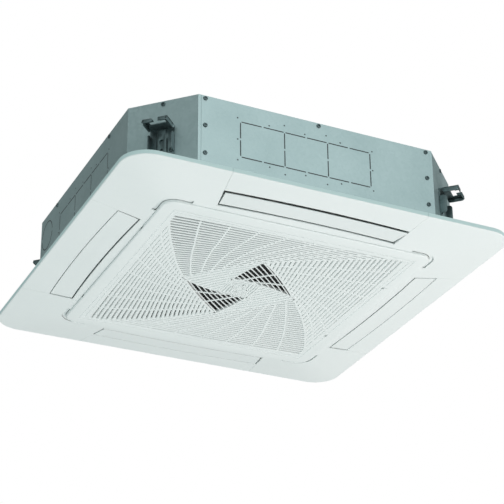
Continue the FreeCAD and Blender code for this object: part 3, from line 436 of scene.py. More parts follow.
class Value:
    """A number on a node's socket, on which Python's operators add Math nodes."""

    def __init__(self, shader: "Nodes", socket: bpy.types.NodeSocket) -> None:
        """Wrap an output socket of a shader's node."""
        self.shader = shader
        self.socket = socket

    def _math(self, operation: str, first: Number, second: Number = 0.0) -> "Value":
        """Add a Math node."""
        return self.shader.node("ShaderNodeMath", {"operation": operation}, {0: first, 1: second})

    def __add__(self, other: Number) -> "Value":
        """Sum."""
        return self._math("ADD", self, other)

    def __rsub__(self, other: float) -> "Value":
        """Difference from a number."""
        return self._math("SUBTRACT", other, self)

    def __mul__(self, other: Number) -> "Value":
        """Product."""
        return self._math("MULTIPLY", self, other)

    __radd__ = __add__
    __rmul__ = __mul__

    def above(self, limit: float) -> "Value":
        """One where the number is above a limit, else nought."""
        return self._math("GREATER_THAN", self, limit)

    def largest(self, other: Number) -> "Value":
        """The larger of two numbers."""
        return self._math("MAXIMUM", self, other)

    def spread(self, low: float, high: float) -> "Value":
        """The number's range from low to high stretched to nought to one and clamped."""
        limits = {"Value": self, "From Min": low, "From Max": high}
        return self.shader.node("ShaderNodeMapRange", {"clamp": True}, limits)


class Nodes:
    """Node tree of a material or of the world."""

    def __init__(self, owner: Union[bpy.types.Material, bpy.types.World], surface: str) -> None:
        """Give the owner a node tree and find the named shader node in it."""
        owner.use_nodes = True
        self.tree = owner.node_tree
        self.surface = self.tree.nodes[surface]

    def node(self, kind: str, settings: dict[str, Any], sockets: dict[Any, Any], output: Any = 0) -> Value:
        """Add a node of any type.

        Args:
            kind: the node's type.
            settings: its properties, set first.
            sockets: values or links of its input sockets.
            output: name or number of the output socket that is returned.

        Returns:
            The wrapped output socket.
        """
        made = self.tree.nodes.new(kind)
        for name, value in settings.items():
            setattr(made, name, value)
        for name, value in sockets.items():
            self.supply(made.inputs[name], value)
        return Value(self, made.outputs[output])

    def supply(self, socket: bpy.types.NodeSocket, value: Any) -> None:
        """Link or set one input socket.

        Args:
            socket: the input socket.
            value: an output to link, or a plain value.
        """
        if isinstance(value, Value):
            self.tree.links.new(value.socket, socket)
        else:
            socket.default_value = value

    def feed(self, name: str, value: Any) -> None:
        """Link or set one input of the shader node."""
        self.supply(self.surface.inputs[name], value)

    def mix(self, share: Number, first: Any, second: Any) -> Value:
        """Mix two colours by a share."""
        pair = [value if isinstance(value, Value) else (*value, 1.0) for value in (first, second)]
        return self.node("ShaderNodeMix", {"data_type": "RGBA"}, {0: share, 6: pair[0], 7: pair[1]}, 2)


class Shader(Nodes):
    """Node tree of one material, on Object coordinates."""

    def __init__(self, name: str) -> None:
        """Start a material with its surface shader."""
        self.material = bpy.data.materials.new(name)
        super().__init__(self.material, "Principled BSDF")
        self.coordinates = self.node("ShaderNodeTexCoord", {}, {}, "Object")

    def noise(self, scale: float, detail: float = 3.0, roughness: float = 0.5) -> Value:
        """Noise of a scale per metre."""
        sockets = {"Vector": self.coordinates, "Scale": scale, "Detail": detail, "Roughness": roughness}
        return self.node("ShaderNodeTexNoise", {}, sockets, "Fac")

    def cells(self, scale: float, output: str = "Distance") -> Value:
        """Cells of a scale per metre."""
        return self.node("ShaderNodeTexVoronoi", {}, {"Vector": self.coordinates, "Scale": scale}, output)

    def bands(self, axis: str, spacing: float) -> Value:
        """Even waves along an axis, a spacing in millimetres apart."""
        scale = math.pi / (10 * spacing * MM)
        return self.node("ShaderNodeTexWave", {"bands_direction": axis},
                         {"Vector": self.coordinates, "Scale": scale, "Distortion": 0.0}, "Fac")

    def axis(self, name: str) -> Value:
        """One Object coordinate in metres."""
        return self.node("ShaderNodeSeparateXYZ", {}, {0: self.coordinates}, name)

    def bump(self, height: Value, strength: float, distance: float) -> None:
        """Raise the surface by a height pattern, a distance in millimetres deep."""
        sockets = {"Strength": strength, "Distance": distance * MM, "Height": height}
        self.feed("Normal", self.node("ShaderNodeBump", {}, sockets))


@dataclass(frozen=True)
class Finish(ABC):
    """What every finish has: a name, a main colour and a second one that varies it."""

    name: str
    colour: Colour
    shade: Colour

    @abstractmethod
    def make(self) -> bpy.types.Material:
        """Build the material."""


@dataclass(frozen=True)
class Plastic(Finish):
    """Moulded plastic with a fine grain and slight unevenness of colour."""

    roughness: float = 0.42
    grain: float = 900.0
    depth: float = 0.05
    # rim: painted shade, a darker teal for the upright rim band, which gets less light than the face.
    rim: Optional[Colour] = None
    rim_level: float = -9.5

    def make(self) -> bpy.types.Material:
        """Build the material, with a painted shade tone on the rim band above a level where a rim colour is
        given.
        """
        shader = Shader(self.name)
        flow = shader.noise(6.0, 4.0)
        grain = shader.noise(self.grain, 2.0)
        dust = shader.noise(60.0, 5.0, 0.65).spread(0.5, 0.8)
        tone = flow.spread(0.3, 0.7) * 0.5 + dust * 0.25
        colour = shader.mix(tone, self.colour, self.shade)
        # Painted shade: above the level the colour turns to the darker rim tone.
        if self.rim:
            above = shader.axis("Z").spread(self.rim_level * MM, (self.rim_level + 1) * MM)
            colour = shader.mix(above, colour, self.rim)
        shader.feed("Base Color", colour)
        shader.feed("Roughness", flow * 0.10 + (grain * 0.10 + (self.roughness - 0.10)))
        shader.bump(grain, 0.35, self.depth)
        return shader.material


@dataclass(frozen=True)
class Galvanised(Finish):
    """Zinc-coated sheet steel with dull spangles and rolling streaks."""

    metallic: float = 0.8
    roughness: float = 0.46

    def make(self) -> bpy.types.Material:
        """Build the material."""
        shader = Shader(self.name)
        spangle = shader.node("ShaderNodeRGBToBW", {}, {0: shader.cells(150.0, "Color")})
        cloud = shader.noise(9.0, 5.0)
        fine = shader.noise(420.0, 3.0)
        tone = spangle * 0.42 + cloud.spread(0.3, 0.7) * 0.4 + fine * 0.18
        shader.feed("Base Color", shader.mix(tone, self.shade, self.colour))
        shader.feed("Metallic", self.metallic)
        shader.feed("Roughness", spangle * 0.14 + fine * 0.08 + (self.roughness - 0.11))
        shader.bump(fine * 0.6 + spangle * 0.4, 0.25, 0.04)
        return shader.material


@dataclass(frozen=True)
class Foam(Finish):
    """Moulded bead foam or soft foam sheet."""

    bead: float = 3.0

    def make(self) -> bpy.types.Material:
        """Build the material."""
        shader = Shader(self.name)
        beads = shader.cells(1000.0 / self.bead)
        cloud = shader.noise(14.0, 4.0)
        tone = beads.spread(0.2, 0.9) * 0.6 + cloud * 0.3
        shader.feed("Base Color", shader.mix(tone, self.colour, self.shade))
        shader.feed("Roughness", cloud * 0.1 + 0.8)
        shader.bump(1.0 - beads, 0.6, 0.4)
        return shader.material


@dataclass(frozen=True)
class BareMetal(Finish):
    """Drawn or turned metal with fine scratches and tarnish."""

    roughness: float = 0.3

    def make(self) -> bpy.types.Material:
        """Build the material."""
        shader = Shader(self.name)
        tarnish = shader.noise(35.0, 5.0)
        scratch = shader.noise(800.0, 2.0)
        shader.feed("Base Color", shader.mix(tarnish.spread(0.35, 0.75), self.colour, self.shade))
        shader.feed("Metallic", 1.0)
        shader.feed("Roughness", tarnish * 0.2 + scratch * 0.1 + (self.roughness - 0.12))
        shader.bump(scratch, 0.2, 0.03)
        return shader.material


@dataclass(frozen=True)
class Finned(Finish):
    """Stack of thin fins seen as close upright lines along both plan axes, with painted shade in the gaps
    between them.
    """

    spacing: float = 3.0

    def make(self) -> bpy.types.Material:
        """Build the material."""
        shader = Shader(self.name)
        lines = shader.bands("X", self.spacing) * shader.bands("Y", self.spacing)
        cloud = shader.noise(40.0, 4.0)
        tone = lines.spread(0.1, 0.6) * 0.8 + cloud * 0.2
        # Painted shade: the gaps between the fins take the dark second colour.
        shader.feed("Base Color", shader.mix(tone, self.shade, self.colour))
        shader.feed("Metallic", 0.8)
        shader.feed("Roughness", cloud * 0.2 + 0.35)
        shader.bump(lines, 0.8, 1.0)
        return shader.material


@dataclass(frozen=True)
class Netting(Finish):
    """Fine woven filter net, drawn as crossing threads on a dark ground that is painted shade behind the net.
    """

    spacing: float = 1.6

    def make(self) -> bpy.types.Material:
        """Build the material."""
        shader = Shader(self.name)
        along = shader.bands("X", self.spacing).spread(0.55, 0.9)
        across = shader.bands("Y", self.spacing).spread(0.55, 0.9)
        weave = 1.0 - (1.0 - along) * (1.0 - across)
        dust = shader.noise(25.0, 5.0).spread(0.4, 0.8)
        shader.feed("Base Color", shader.mix(weave * 0.75 + dust * 0.2, self.shade, self.colour))
        shader.feed("Roughness", dust * 0.15 + 0.7)
        shader.bump(weave, 0.5, 0.3)
        return shader.material


@dataclass(frozen=True)
class Board(Finish):
    """Coated circuit board with copper tracks and pads."""

    def make(self) -> bpy.types.Material:
        """Build the material."""
        shader = Shader(self.name)
        lines = shader.bands("X", 4.0).above(0.8) * shader.noise(45.0, 0.0).above(0.5)
        pads = 1.0 - shader.cells(160.0).above(0.22)
        shader.feed("Base Color", shader.mix((lines + pads).spread(0.0, 1.0), self.colour, self.shade))
        shader.feed("Roughness", pads * -0.1 + 0.4)
        shader.bump(lines + pads, 0.3, 0.1)
        return shader.material


@dataclass
class Palette:
    """Every finish of the unit, made once."""

    made: dict[str, bpy.types.Material] = field(default_factory=dict)

    def mix(self) -> None:
        """Make the materials by their record slot."""
        white, shade = (0.83, 0.865, 0.855), (0.78, 0.825, 0.815)
        finishes = (
            Galvanised("galvanised_sheet", (0.51, 0.60, 0.605), (0.365, 0.455, 0.46)),
            # Bracket steel is darkened well below the sheet's colour as painted shade on the flanges'
            # undersides.
            Galvanised("bracket_steel", (0.19, 0.24, 0.245), (0.08, 0.11, 0.115), 0.75, 0.34),
            # Screws are near-black as painted shade; their real zinc heads are light.
            Galvanised("screw_steel", (0.14, 0.18, 0.185), (0.06, 0.08, 0.085), 0.9, 0.27),
            # The rim colour is painted shade on the panel's upright rim band.
            Plastic("panel_white", white, shade, rim=(0.63, 0.785, 0.775)),
            Plastic("flap_white", white, shade, 0.38),
            Plastic("grille_white", white, shade, 0.45),
            BareMetal("pin_steel", (0.62, 0.64, 0.64), (0.40, 0.42, 0.42)),
            Foam("foam_white", (0.84, 0.85, 0.83), (0.70, 0.72, 0.70), 4.0),
            Foam("foam_grey", (0.16, 0.17, 0.18), (0.08, 0.085, 0.09), 1.5),
            Finned("fin_aluminium", (0.72, 0.76, 0.80), (0.18, 0.20, 0.22)),
            BareMetal("pipe_copper", (0.78, 0.42, 0.27), (0.42, 0.20, 0.12), 0.32),
            Plastic("pump_plastic", (0.66, 0.67, 0.65), (0.55, 0.56, 0.54), 0.5),
            Plastic("bell_plastic", (0.10, 0.105, 0.11), (0.07, 0.075, 0.08), 0.5),
            Plastic("fan_plastic", (0.06, 0.062, 0.066), (0.04, 0.042, 0.045), 0.5),
            Plastic("motor_paint", (0.09, 0.095, 0.10), (0.06, 0.065, 0.07), 0.35, 600.0, 0.08),
            Plastic("bush_rubber", (0.03, 0.03, 0.032), (0.02, 0.02, 0.022), 0.7, 500.0, 0.1),
            Board("board_green", (0.03, 0.16, 0.07), (0.12, 0.34, 0.16)),
            Plastic("terminal_dark", (0.04, 0.04, 0.045), (0.028, 0.028, 0.03), 0.45),
            Plastic("filter_dark", (0.02, 0.022, 0.023), (0.014, 0.015, 0.016), 0.6),
            # A dark net, darkened to near black so that it also serves as painted shade seen through the
            # grille's gaps.
            Netting("filter_net", (0.014, 0.016, 0.017), (0.003, 0.0035, 0.0035)),
        )
        for finish in finishes:
            self.made[finish.name] = finish.make()

    def __getitem__(self, slot: str) -> bpy.types.Material:
        """Material of a slot."""
        return self.made[slot]

    def dress(self, nodes: dict[str, bpy.types.Object], rows: Sequence[dict[str, str]]) -> None:
        """Give every CAD node the material of its slot.

        Args:
            nodes: the CAD nodes by name.
            rows: the record's rows of node and slot.
        """
        for row in rows:
            slots = nodes[row["node"]].data.materials
            material = self.made[row["material_slot"]]
            if not slots:
                slots.append(material)
            for index in range(len(slots)):
                slots[index] = material


@dataclass
class Panel:
    """Decorative panel: four side skins with bowed outlets, four corner covers and four flaps."""

    palette: Palette
    half: float = 475.0
    corner: float = 65.0
    rim_round: float = 2.2
    rim_height: float = 11.0
    depth: float = 26.0
    opening_half: float = 335.9
    opening_corner: float = 30.9
    outlet_out: float = 407.5
    outlet_in: float = 350.0
    outlet_outer_half: float = 229.5
    outlet_inner_half: float = 221.0
    outlet_columns: int = 28
    outlet_play: float = 0.1
    bow: float = 6.5
    seam_gap: float = 0.5
    skin_wall: float = 1.0
    skin_proud: float = 0.2
    skin_round: float = 0.35
    cover_wall: float = 2.2
    recess_width: float = 10.1
    recess_start: float = 275.0
    recess_level: float = -22.2
    recess_wall: float = 5.0
    recess_play: float = 0.2
    flap_gap: float = 2.0
    flap_near_gap: float = 4.0
    flap_end_gap: float = 3.2
    flap_wall: float = 3.0
    flap_pivot: float = 376.0
    flap_level: float = -9.93
    flap_tilts: tuple[float, float, float, float] = (9.0, 0.0, 0.0, 0.0)
    ear_inset: float = 5.0
    ear_half: float = 6.0
    ear_wall: float = 2.5
    ear_low: float = -20.5
    ear_rise: float = 4.0
    ear_taper: float = 0.4
    duct_end: float = 231.25
    pin_radius: float = 2.0
    pin_overlap: float = 2.2
    corner_steps: int = 14
    rim_steps: int = 4
    low: float = -60.0
    high: float = 20.0

    @property
    def slant(self) -> float:
        """How far an outlet's end runs out along the side for each step away from the grille."""
        return (self.outlet_outer_half - self.outlet_inner_half) / (self.outlet_out - self.outlet_in)

    def rounded(self, name: str, half: float, radius: float, level: float) -> Bench:
        """Flat square outline with round corners, from a plane with bevelled corners."""
        loop = Bench.sheet(name, (-half, -half, level), (half, half, level))
        return loop.pick_all().bevel(radius, self.corner_steps, corners=True)

    def prism(self, name: str, half: float, radius: float, low: float, high: float) -> Bench:
        """Block on a square outline with round corners.

        Args:
            name: name of the object.
            half: half width of the square.
            radius: radius of its corners.
            low: level of the outline.
            high: level that it is extruded to.

        Returns:
            The bench with the block on it.
        """
        piece = self.rounded(name, half, radius, low)
        piece.pick_all().extrude((0, 0, high - low))
        return piece.tidy()

    def next_ring(self, piece: Bench, ring: Ring, after: Ring) -> None:
        """Extrude the selected ring of a rounded square to the next one.

        Args:
            piece: the bench with the ring selected.
            ring: half width, corner radius and level of the selected ring.
            after: the same of the new ring.
        """
        piece.extrude((0, 0, after[2] - ring[2]))
        numbers = piece.selected()
        old, new = ring[0] - ring[1], after[0] - after[1]
        share = after[1] / ring[1]
        for x, y in ((-1, -1), (1, -1), (1, 1), (-1, 1)):
            piece.among(numbers, lambda place: place.x * x > 0 and place.y * y > 0)
            piece.scale((share, share, 1), (x * old, y * old, after[2]))
            piece.move((x * (new - old), y * (new - old), 0))
        piece.among(numbers, lambda place: True)

    def profile(self, proud: float) -> list[Ring]:
        """Rings of the panel's face, from its back edge round the rim to the opening.

        Args:
            proud: how far the face is moved out.

        Returns:
            Half width, corner radius and level of each ring.
        """
        flat = self.half - self.corner
        rings = [(self.half + proud, self.corner + proud, 0.0)]
        arc = self.rim_round + proud
        for step in range(self.rim_steps + 1):
            angle = math.radians(90 * step / self.rim_steps)
            half = self.half - self.rim_round + arc * math.cos(angle)
            rings.append((half, half - flat, self.rim_round - self.rim_height - arc * math.sin(angle)))
        rings.append((self.opening_half, self.opening_corner, -self.depth - proud))
        return rings

    def shell(self, name: str, proud: float, wall: float) -> Bench:
        """Closed ring of the whole panel's skin, lofted down the face and back up inside it.

        Args:
            name: name of the object.
            proud: how far the face stands out from the CAD face.
            wall: thickness of the skin.

        Returns:
            The bench with the skin on it.
        """
        rings = self.profile(proud) + self.profile(proud - wall)[::-1]
        piece = self.rounded(name, *rings[0])
        piece.pick_all().delete("ONLY_FACE")
        piece.pick_all()
        for ring, after in zip(rings, rings[1:]):
            self.next_ring(piece, ring, after)
        bpy.ops.mesh.select_mode(type="EDGE")
        bpy.ops.mesh.select_all(action="DESELECT")
        bpy.ops.mesh.select_non_manifold()
        bpy.ops.mesh.bridge_edge_loops()
        return piece.tidy()

    def outlet(self, name: str, far_gap: float, near_gap: float, end_gap: float) -> Bench:
        """Upright block on the front outlet's bowed outline.

        Args:
            name: name of the object.
            far_gap: how far the outer edge is drawn in.
            near_gap: how far the edge next to the grille is drawn in.
            end_gap: how far the ends are drawn in.

        Returns:
            The bench with the block on it.
        """
        near, far = -(self.outlet_in + near_gap), -(self.outlet_out - far_gap)
        near_half, far_half = self.outlet_inner_half - end_gap, self.outlet_outer_half - end_gap
        columns = self.outlet_columns
        piece = Bench.sheet(name, (-far_half, far, self.low), (far_half, near, self.low), columns)
        middle = (near + far) / 2
        piece.pick(lambda place: place.y > middle).scale((near_half / far_half, 1, 1), (0, 0, 0))
        for column in range(1, columns):
            share = 2 * column / columns - 1

            def in_column(place: Vector) -> bool:
                """Say whether a vertex belongs to the column."""
                half = near_half if place.y > middle else far_half
                return abs(place.x - share * half) < half / columns

            piece.pick(in_column).move((0, -self.bow * (1 - share * share), 0))
        piece.pick_all().extrude((0, 0, self.high - self.low))
        return piece.tidy()

    def seam(self, gap: float) -> tuple[Vector, Vector]:
        """Slanted seam at the left end of the front outlet.

        Args:
            gap: distance from the outlet's end to the seam.

        Returns:
            A place on the seam, and its normal, which points to the corner.
        """
        place = Vector((-self.outlet_inner_half - gap, -self.outlet_in, 0))
        return place, Vector((-1, self.slant, 0))

    def around(self, piece: Bench, prefix: str, places: type[Enum], body: str,
               replaces: Sequence[str] = ()) -> None:
        """Copy a piece from the first place to the others round the panel, and finish them all.

        Args:
            piece: the piece at the first place.
            prefix: start of the copies' names.
            places: the sides or the corners.
            body: the CAD body, with braces where the place's name goes.
            replaces: CAD nodes that are hidden, written in the same way.
        """
        first, *others = places
        copies = {place: piece.turned(prefix + place.name.lower(), 90 * place.value) for place in others}
        for place, copy in {**copies, first: piece}.items():
            name = place.name.lower()
            hidden = [node.format(name) for node in replaces]
            copy.finish(self.palette["panel_white"], body.format(name), "panel_white", hidden)

    def side_skins(self) -> None:
        """Model the front skin once and lay a copy over each side of the frame."""
        skin = self.shell("panel_skin_front", self.skin_proud, self.skin_wall)
        skin.slice((0, 0, 0), (0, 1, 0))
        place, normal = self.seam(self.seam_gap)
        mirror = Vector((-1, 1, 1))
        skin.slice(place, normal).slice(place * mirror, normal * mirror)
        skin.carve(self.outlet("outlet_tool", -self.outlet_play, -self.outlet_play, -2 * self.seam_gap))
        skin.soften(self.skin_round).smooth().flatten()
        self.around(skin, "panel_skin_", Side, "unit")

    def to_corner(self, piece: Bench, start: float) -> Bench:
        """Keep what lies past a start on both sides of the front left corner."""
        return piece.slice((-start, 0, 0), (1, 0, 0)).slice((0, -start, 0), (0, 1, 0))

    def corner_covers(self) -> None:
        """Model the front left cover once, with its finger recess, and copy it to each corner."""
        cover = self.shell("cover_skin_front_left", self.skin_proud, self.cover_wall)
        place, normal = self.seam(2 * self.seam_gap)
        cover.slice(place, -normal).slice(place.yxz, -normal.yxz)
        half, corner = self.opening_half + self.recess_width, self.opening_corner + self.recess_width
        recess = self.prism("recess_tool", half, corner, self.low, self.high)
        cover.carve(self.to_corner(recess, self.recess_start))
        cover.soften(self.skin_round).smooth().flatten()
        self.around(cover, "cover_skin_", Corner, "cover_{}", ["corner_cover_{}"])

    def recess_floors(self) -> None:
        """Model the pale floor of one finger recess and copy it to each corner."""
        half = self.opening_half + self.recess_width - self.recess_play / 2
        corner = self.opening_corner + self.recess_width
        top = self.recess_level + self.recess_wall
        floor = self.prism("recess_floor_front_left", half, corner, self.recess_level, top)
        inner_half = self.opening_half + self.recess_play
        floor.carve(self.prism("recess_inner_tool", inner_half, self.opening_corner, self.low, self.high))
        self.to_corner(floor, self.recess_start + self.recess_play)
        floor.soften(0.4).smooth()
        self.around(floor, "recess_floor_", Corner, "unit")

    def flap_end(self, end: int) -> list[Bench]:
        """Ear and pin at one end of the front flap.

        Args:
            end: -1 for the left end, 1 for the right one.

        Returns:
            The ear and the pin.
        """
        across = end * (self.outlet_inner_half - self.flap_end_gap - self.ear_inset)
        wall, top = self.ear_wall / 2, self.flap_level + self.ear_rise
        ear = Bench.block("ear", (across - wall, -self.flap_pivot - self.ear_half, self.ear_low),
                          (across + wall, -self.flap_pivot + self.ear_half, top))
        upper = ear.pick(lambda place: place.z > self.flap_level)
        upper.scale((1, self.ear_taper, 1), (0, -self.flap_pivot, 0)).soften(0.5)
        length = self.duct_end + self.pin_overlap - abs(across)
        pin = Bench.drum("pin", (0, 0), self.pin_radius, 0, length, 20)
        pin.pick(lambda place: place.z > 1).bevel(0.5, 2)
        laid = pin.turned("pin_laid", 90 * end, "Y")
        pin.drop()
        laid.pick_all().move((across, -self.flap_pivot, self.flap_level))
        return [ear, laid.smooth()]

    def flaps(self) -> None:
        """Model the front flap once, with ears and pins, and copy it to each outlet."""
        blade = self.shell("flap_blade", 0.0, self.flap_wall)
        blade.slice((0, 0, 0), (0, 1, 0))
        outline = self.outlet("flap_tool", self.flap_gap, self.flap_near_gap, self.flap_end_gap)
        blade.carve(outline, Keep.INSIDE)
        blade.soften(0.8, 3).smooth().flatten()
        blade.join(self.flap_end(-1) + self.flap_end(1))
        pivot = (0, -self.flap_pivot, self.flap_level)
        for side in Side:
            name = side.name.lower()
            tilted = blade.turned("flap_tilted", self.flap_tilts[side.value], "X", pivot)
            copy = tilted.turned("flap_skin_" + name, 90 * side.value)
            tilted.drop()
            copy.finish(self.palette["flap_white"], "flap_%s_body" % name, "flap_white", ["flap_" + name])
        blade.drop()

    def build(self) -> None:
        """Build the whole panel."""
        self.side_skins()
        self.corner_covers()
        self.recess_floors()
        self.flaps()


@dataclass
class WhirlCurve:
    """Plan arc from a start to an end, which it meets at a heading in degrees from the X axis."""

    start: Vector
    end: Vector
    heading: float

    STEPS: ClassVar[int] = 18

    def __post_init__(self) -> None:
        """Work out the arc's centre."""
        angle = math.radians(self.heading)
        normal = Vector((math.sin(angle), -math.cos(angle), 0))
        chord = self.end - self.start
        bend = 2 * chord.dot(normal)
        self.straight = abs(bend) < chord.length / 1000
        self.centre = Vector() if self.straight else self.end - normal * (chord.dot(chord) / bend)
        self.reach = (self.end - self.centre).length

    def holds(self, place: Vector) -> bool:
        """Say whether a plan place is inside the arc's circle."""
        return (place - self.centre).length < self.reach

    def sweep(self, first: Vector) -> float:
        """Angle from a place on the arc to its end."""
        old, new = first - self.centre, self.end - self.centre
        return math.atan2(old.cross(new).z, old.dot(new))

    def towards(self, first: Vector, share: float) -> Vector:
        """Place on the arc at a share of the way from a place on it to its end."""
        spun = Matrix.Rotation(self.sweep(first) * share, 3, "Z")
        return self.centre + spun @ (first - self.centre)

    def strip(self, name: str, width: float, low: float, high: float) -> Bench:
        """Upright strip along the arc, spun from its section, or stretched where it is straight.

        Args:
            name: name of the object.
            width: width of the strip.
            low: lower edge.
            high: upper edge.

        Returns:
            The bench with the strip on it.
        """
        up = Vector((0, 0, 1))
        spoke = (self.start - self.centre).normalized()
        if self.straight:
            spoke = (self.end - self.start).normalized().cross(up)
        tall = (high - low) / 2
        piece = Bench.sheet(name, (-width / 2, -tall, 0), (width / 2, tall, 0))
        lift = Matrix.Translation(self.start * MM + up * ((low + high) / 2 * MM))
        piece.lay(lift @ Matrix((spoke, up, spoke.cross(up))).transposed().to_4x4())
        piece.pick_all()
        if self.straight:
            piece.extrude(self.end - self.start)
        else:
            angle = -self.sweep(self.start)
            bpy.ops.mesh.spin(steps=self.STEPS, angle=angle, center=self.centre * MM, axis=up)
        piece.pick_all()
        bpy.ops.mesh.remove_doubles(threshold=MM / 1000)
        bpy.ops.mesh.select_all(action="DESELECT")
        bpy.ops.mesh.select_non_manifold()
        bpy.ops.mesh.fill_holes(sides=8)
        return piece.tidy()


@dataclass(frozen=True)
class WhirlLevel:
    """Sectors of one turn of the whirl, and the course of their slats.

    Attributes:
        scale: size as a share of the outermost whirl.
        turn: degrees that the sectors are turned on.
        pitch: distance between the slats at their wide end.
        gap: width of the gaps at the close end and at the wide end.
        height: height of the slats.
        arm: width of the arm.
        rib: width of the ribs.
        bays: bays between the ribs.
        quarters: the sectors that are made, in quarter turns from the left one.
        outward: how far the slats are moved out.
    """

    scale: float
    turn: float
    pitch: float
    gap: tuple[float, float]
    height: float
    arm: float
    rib: float
    bays: int
    quarters: tuple[int, ...] = (0, 1, 2, 3)
    outward: float = 0.0

    SPAN: ClassVar[float] = 280.0
    EDGE: ClassVar[tuple[float, float, float]] = (276.0, 0.025, 0.000075)
    NARROWING: ClassVar[tuple[float, float]] = (0.00097, 0.0000009)
    WIDENING: ClassVar[float] = 1.5

    def edge(self, along: float) -> float:
        """Distance of the first gap from the middle, at a place along the side."""
        middle, slope, bend = self.EDGE
        place = along / self.scale
        return self.scale * (middle - slope * place - bend * place * place) + self.outward

    def spread(self, along: float) -> float:
        """Share of the full pitch at a place along the side."""
        first, second = self.NARROWING
        rest = self.SPAN - along / self.scale
        return math.exp(-first * rest + second * rest * rest)

    def opening(self, along: float) -> float:
        """Width of the gaps at a place along the side."""
        share = min(1.0, max(0.0, (along / self.scale + self.SPAN) / (2 * self.SPAN)))
        return self.gap[0] + (self.gap[1] - self.gap[0]) * share ** self.WIDENING


@dataclass
class Grille:
    """Hinged intake grille: a rounded border round a whirl of slats on curved ribs."""

    palette: Palette
    panel: Panel
    half: float = 335.0
    corner: float = 30.0
    face: float = -30.0
    top: float = -22.2
    edge_round: float = 3.5
    window_half: float = 286.5
    window_turn: float = -1.0
    start: Vector = field(default_factory=lambda: Vector((-300, -266, 0)))
    junction: Vector = field(default_factory=lambda: Vector((2, 149, 0)))
    shift: tuple[float, float] = (-10.0, -7.0)
    shift_core: float = 150.0
    shift_fade: float = 140.0
    heading: float = 39.4
    heading_inner: float = 52.5
    slat_height: float = 7.7
    slat_lift: float = 0.06
    slat_round: float = 0.5
    slat_columns: int = 12
    slat_reach: float = 302.0
    slat_depth: float = 372.0
    sector_middle: float = 240.0
    arc_sides: int = 400
    knot_sides: int = 24
    arm_drop: float = 0.1
    rib_lift: float = 0.2
    hub_inset: float = 2.5
    hub_dome: float = 0.8
    grooves: tuple[float, ...] = (292.5, 302.5)
    groove_width: float = 1.4
    groove_depth: float = 0.8
    latch_half: float = 150.0
    latch_slot: tuple[float, float] = (299.5, 312.5)
    latch_width: float = 9.0
    hinge_half: float = 190.0
    hinge_width: float = 16.0
    hinge_reach: float = 12.0
    hinge_lift: float = 1.7
    overcut: float = 5.0

    @property
    def shrink(self) -> float:
        """Size of each whirl as a share of the one outside it."""
        return self.junction.length / self.start.length

    @property
    def turn(self) -> float:
        """Degrees that each whirl is turned on from the one outside it, clockwise from above."""
        return math.degrees(self.start.to_2d().angle_signed(Vector((-self.junction.y, self.junction.x))))

    def levels(self) -> list[WhirlLevel]:
        """The same whirl four times, each smaller and turned on; the second has open and close sectors."""
        shrink, turn, tall = self.shrink, self.turn, self.slat_height
        outer = WhirlLevel(scale=1.0, turn=0.0, pitch=12.0, gap=(1.1, 4.4), height=tall, arm=5.0, rib=4.2,
                           bays=8, quarters=(0, 2))
        inner = WhirlLevel(scale=shrink, turn=-turn, pitch=13.2, gap=(2.2, 3.2), height=tall, arm=3.4,
                           rib=2.4, bays=3, quarters=(1, 3))
        third = WhirlLevel(scale=shrink ** 2, turn=-2 * turn, pitch=9.0, gap=(2.0, 3.0), height=tall,
                           arm=2.6, rib=2.0, bays=1)
        last = replace(third, scale=shrink ** 3, turn=-3 * turn, pitch=5.0, gap=(1.2, 1.8), arm=2.0)
        return [outer,
                replace(outer, gap=(2.6, 6.0), height=2.9, rib=4.0, quarters=(1,)),
                replace(outer, gap=(2.0, 5.4), height=4.4, rib=4.0, quarters=(3,)),
                replace(inner, gap=(7.8, 9.8), height=2.0, arm=3.0, rib=4.6, quarters=(0, 2), outward=3.4),
                inner, third, last]

    def border(self) -> Bench:
        """Border with a rounded outer edge, a square window, faint grooves and latch slots."""
        low, face = self.panel.low, self.face
        piece = self.panel.prism("grille_face", self.half, self.corner, self.top, face)
        piece.rim(lambda place: place.z < face + 0.1).bevel(self.edge_round, 5)
        block = Bench.square("window_block", self.window_half, low, 0)
        piece.carve(block.turned("window_tool", self.window_turn))
        block.drop()
        for groove in self.grooves:
            ring = Bench.square("groove_tool", groove + self.groove_width, face - self.overcut,
                                face + self.groove_depth)
            piece.carve(ring.carve(Bench.square("groove_core", groove, low, 0)))
        start, end = self.latch_slot
        edge, latch, hinge = -self.half, self.latch_width / 2, self.hinge_width / 2
        for side in (-1, 1):
            middle = side * self.latch_half
            piece.carve(Bench.block("latch_tool", (start, middle - latch, low), (end, middle + latch, 0)))
            middle = side * self.hinge_half
            outer = (edge - self.overcut, middle - hinge, face + self.hinge_lift)
            piece.carve(Bench.block("hinge_tool", outer, (edge + self.hinge_reach, middle + hinge, 0)))
        return piece.smooth()

    def slats(self, level: WhirlLevel) -> Bench:
        """Field of curved slats on the left side, which fan out and narrow no more than their gaps widen.

        Args:
            level: sizes of the whirl.

        Returns:
            The bench with the slats on it, not yet cut to the arms.
        """
        reach, width = self.slat_reach * level.scale, level.pitch / 2
        columns, low = self.slat_columns, self.face + self.slat_lift
        count = int(self.slat_depth * level.scale / level.pitch) + 2
        flat = Bench.sheet("slats_flat", (-reach, -width, low), (reach, 0, low), columns)
        flat.modify("ARRAY", count=count, use_relative_offset=False, use_constant_offset=True,
                    constant_offset_displace=(0, -level.pitch * MM, 0))
        # A placed edge is moved this far off, so that it isn't picked again.
        away = 1000
        for column in range(columns + 1):
            along = reach * (2 * column / columns - 1)
            share, edge, gap = level.spread(along), level.edge(along), level.opening(along)
            step = level.pitch * share
            for side, move in ((0.0, edge + 2 * step - gap / 2), (-width, edge + step + gap / 2 + width)):

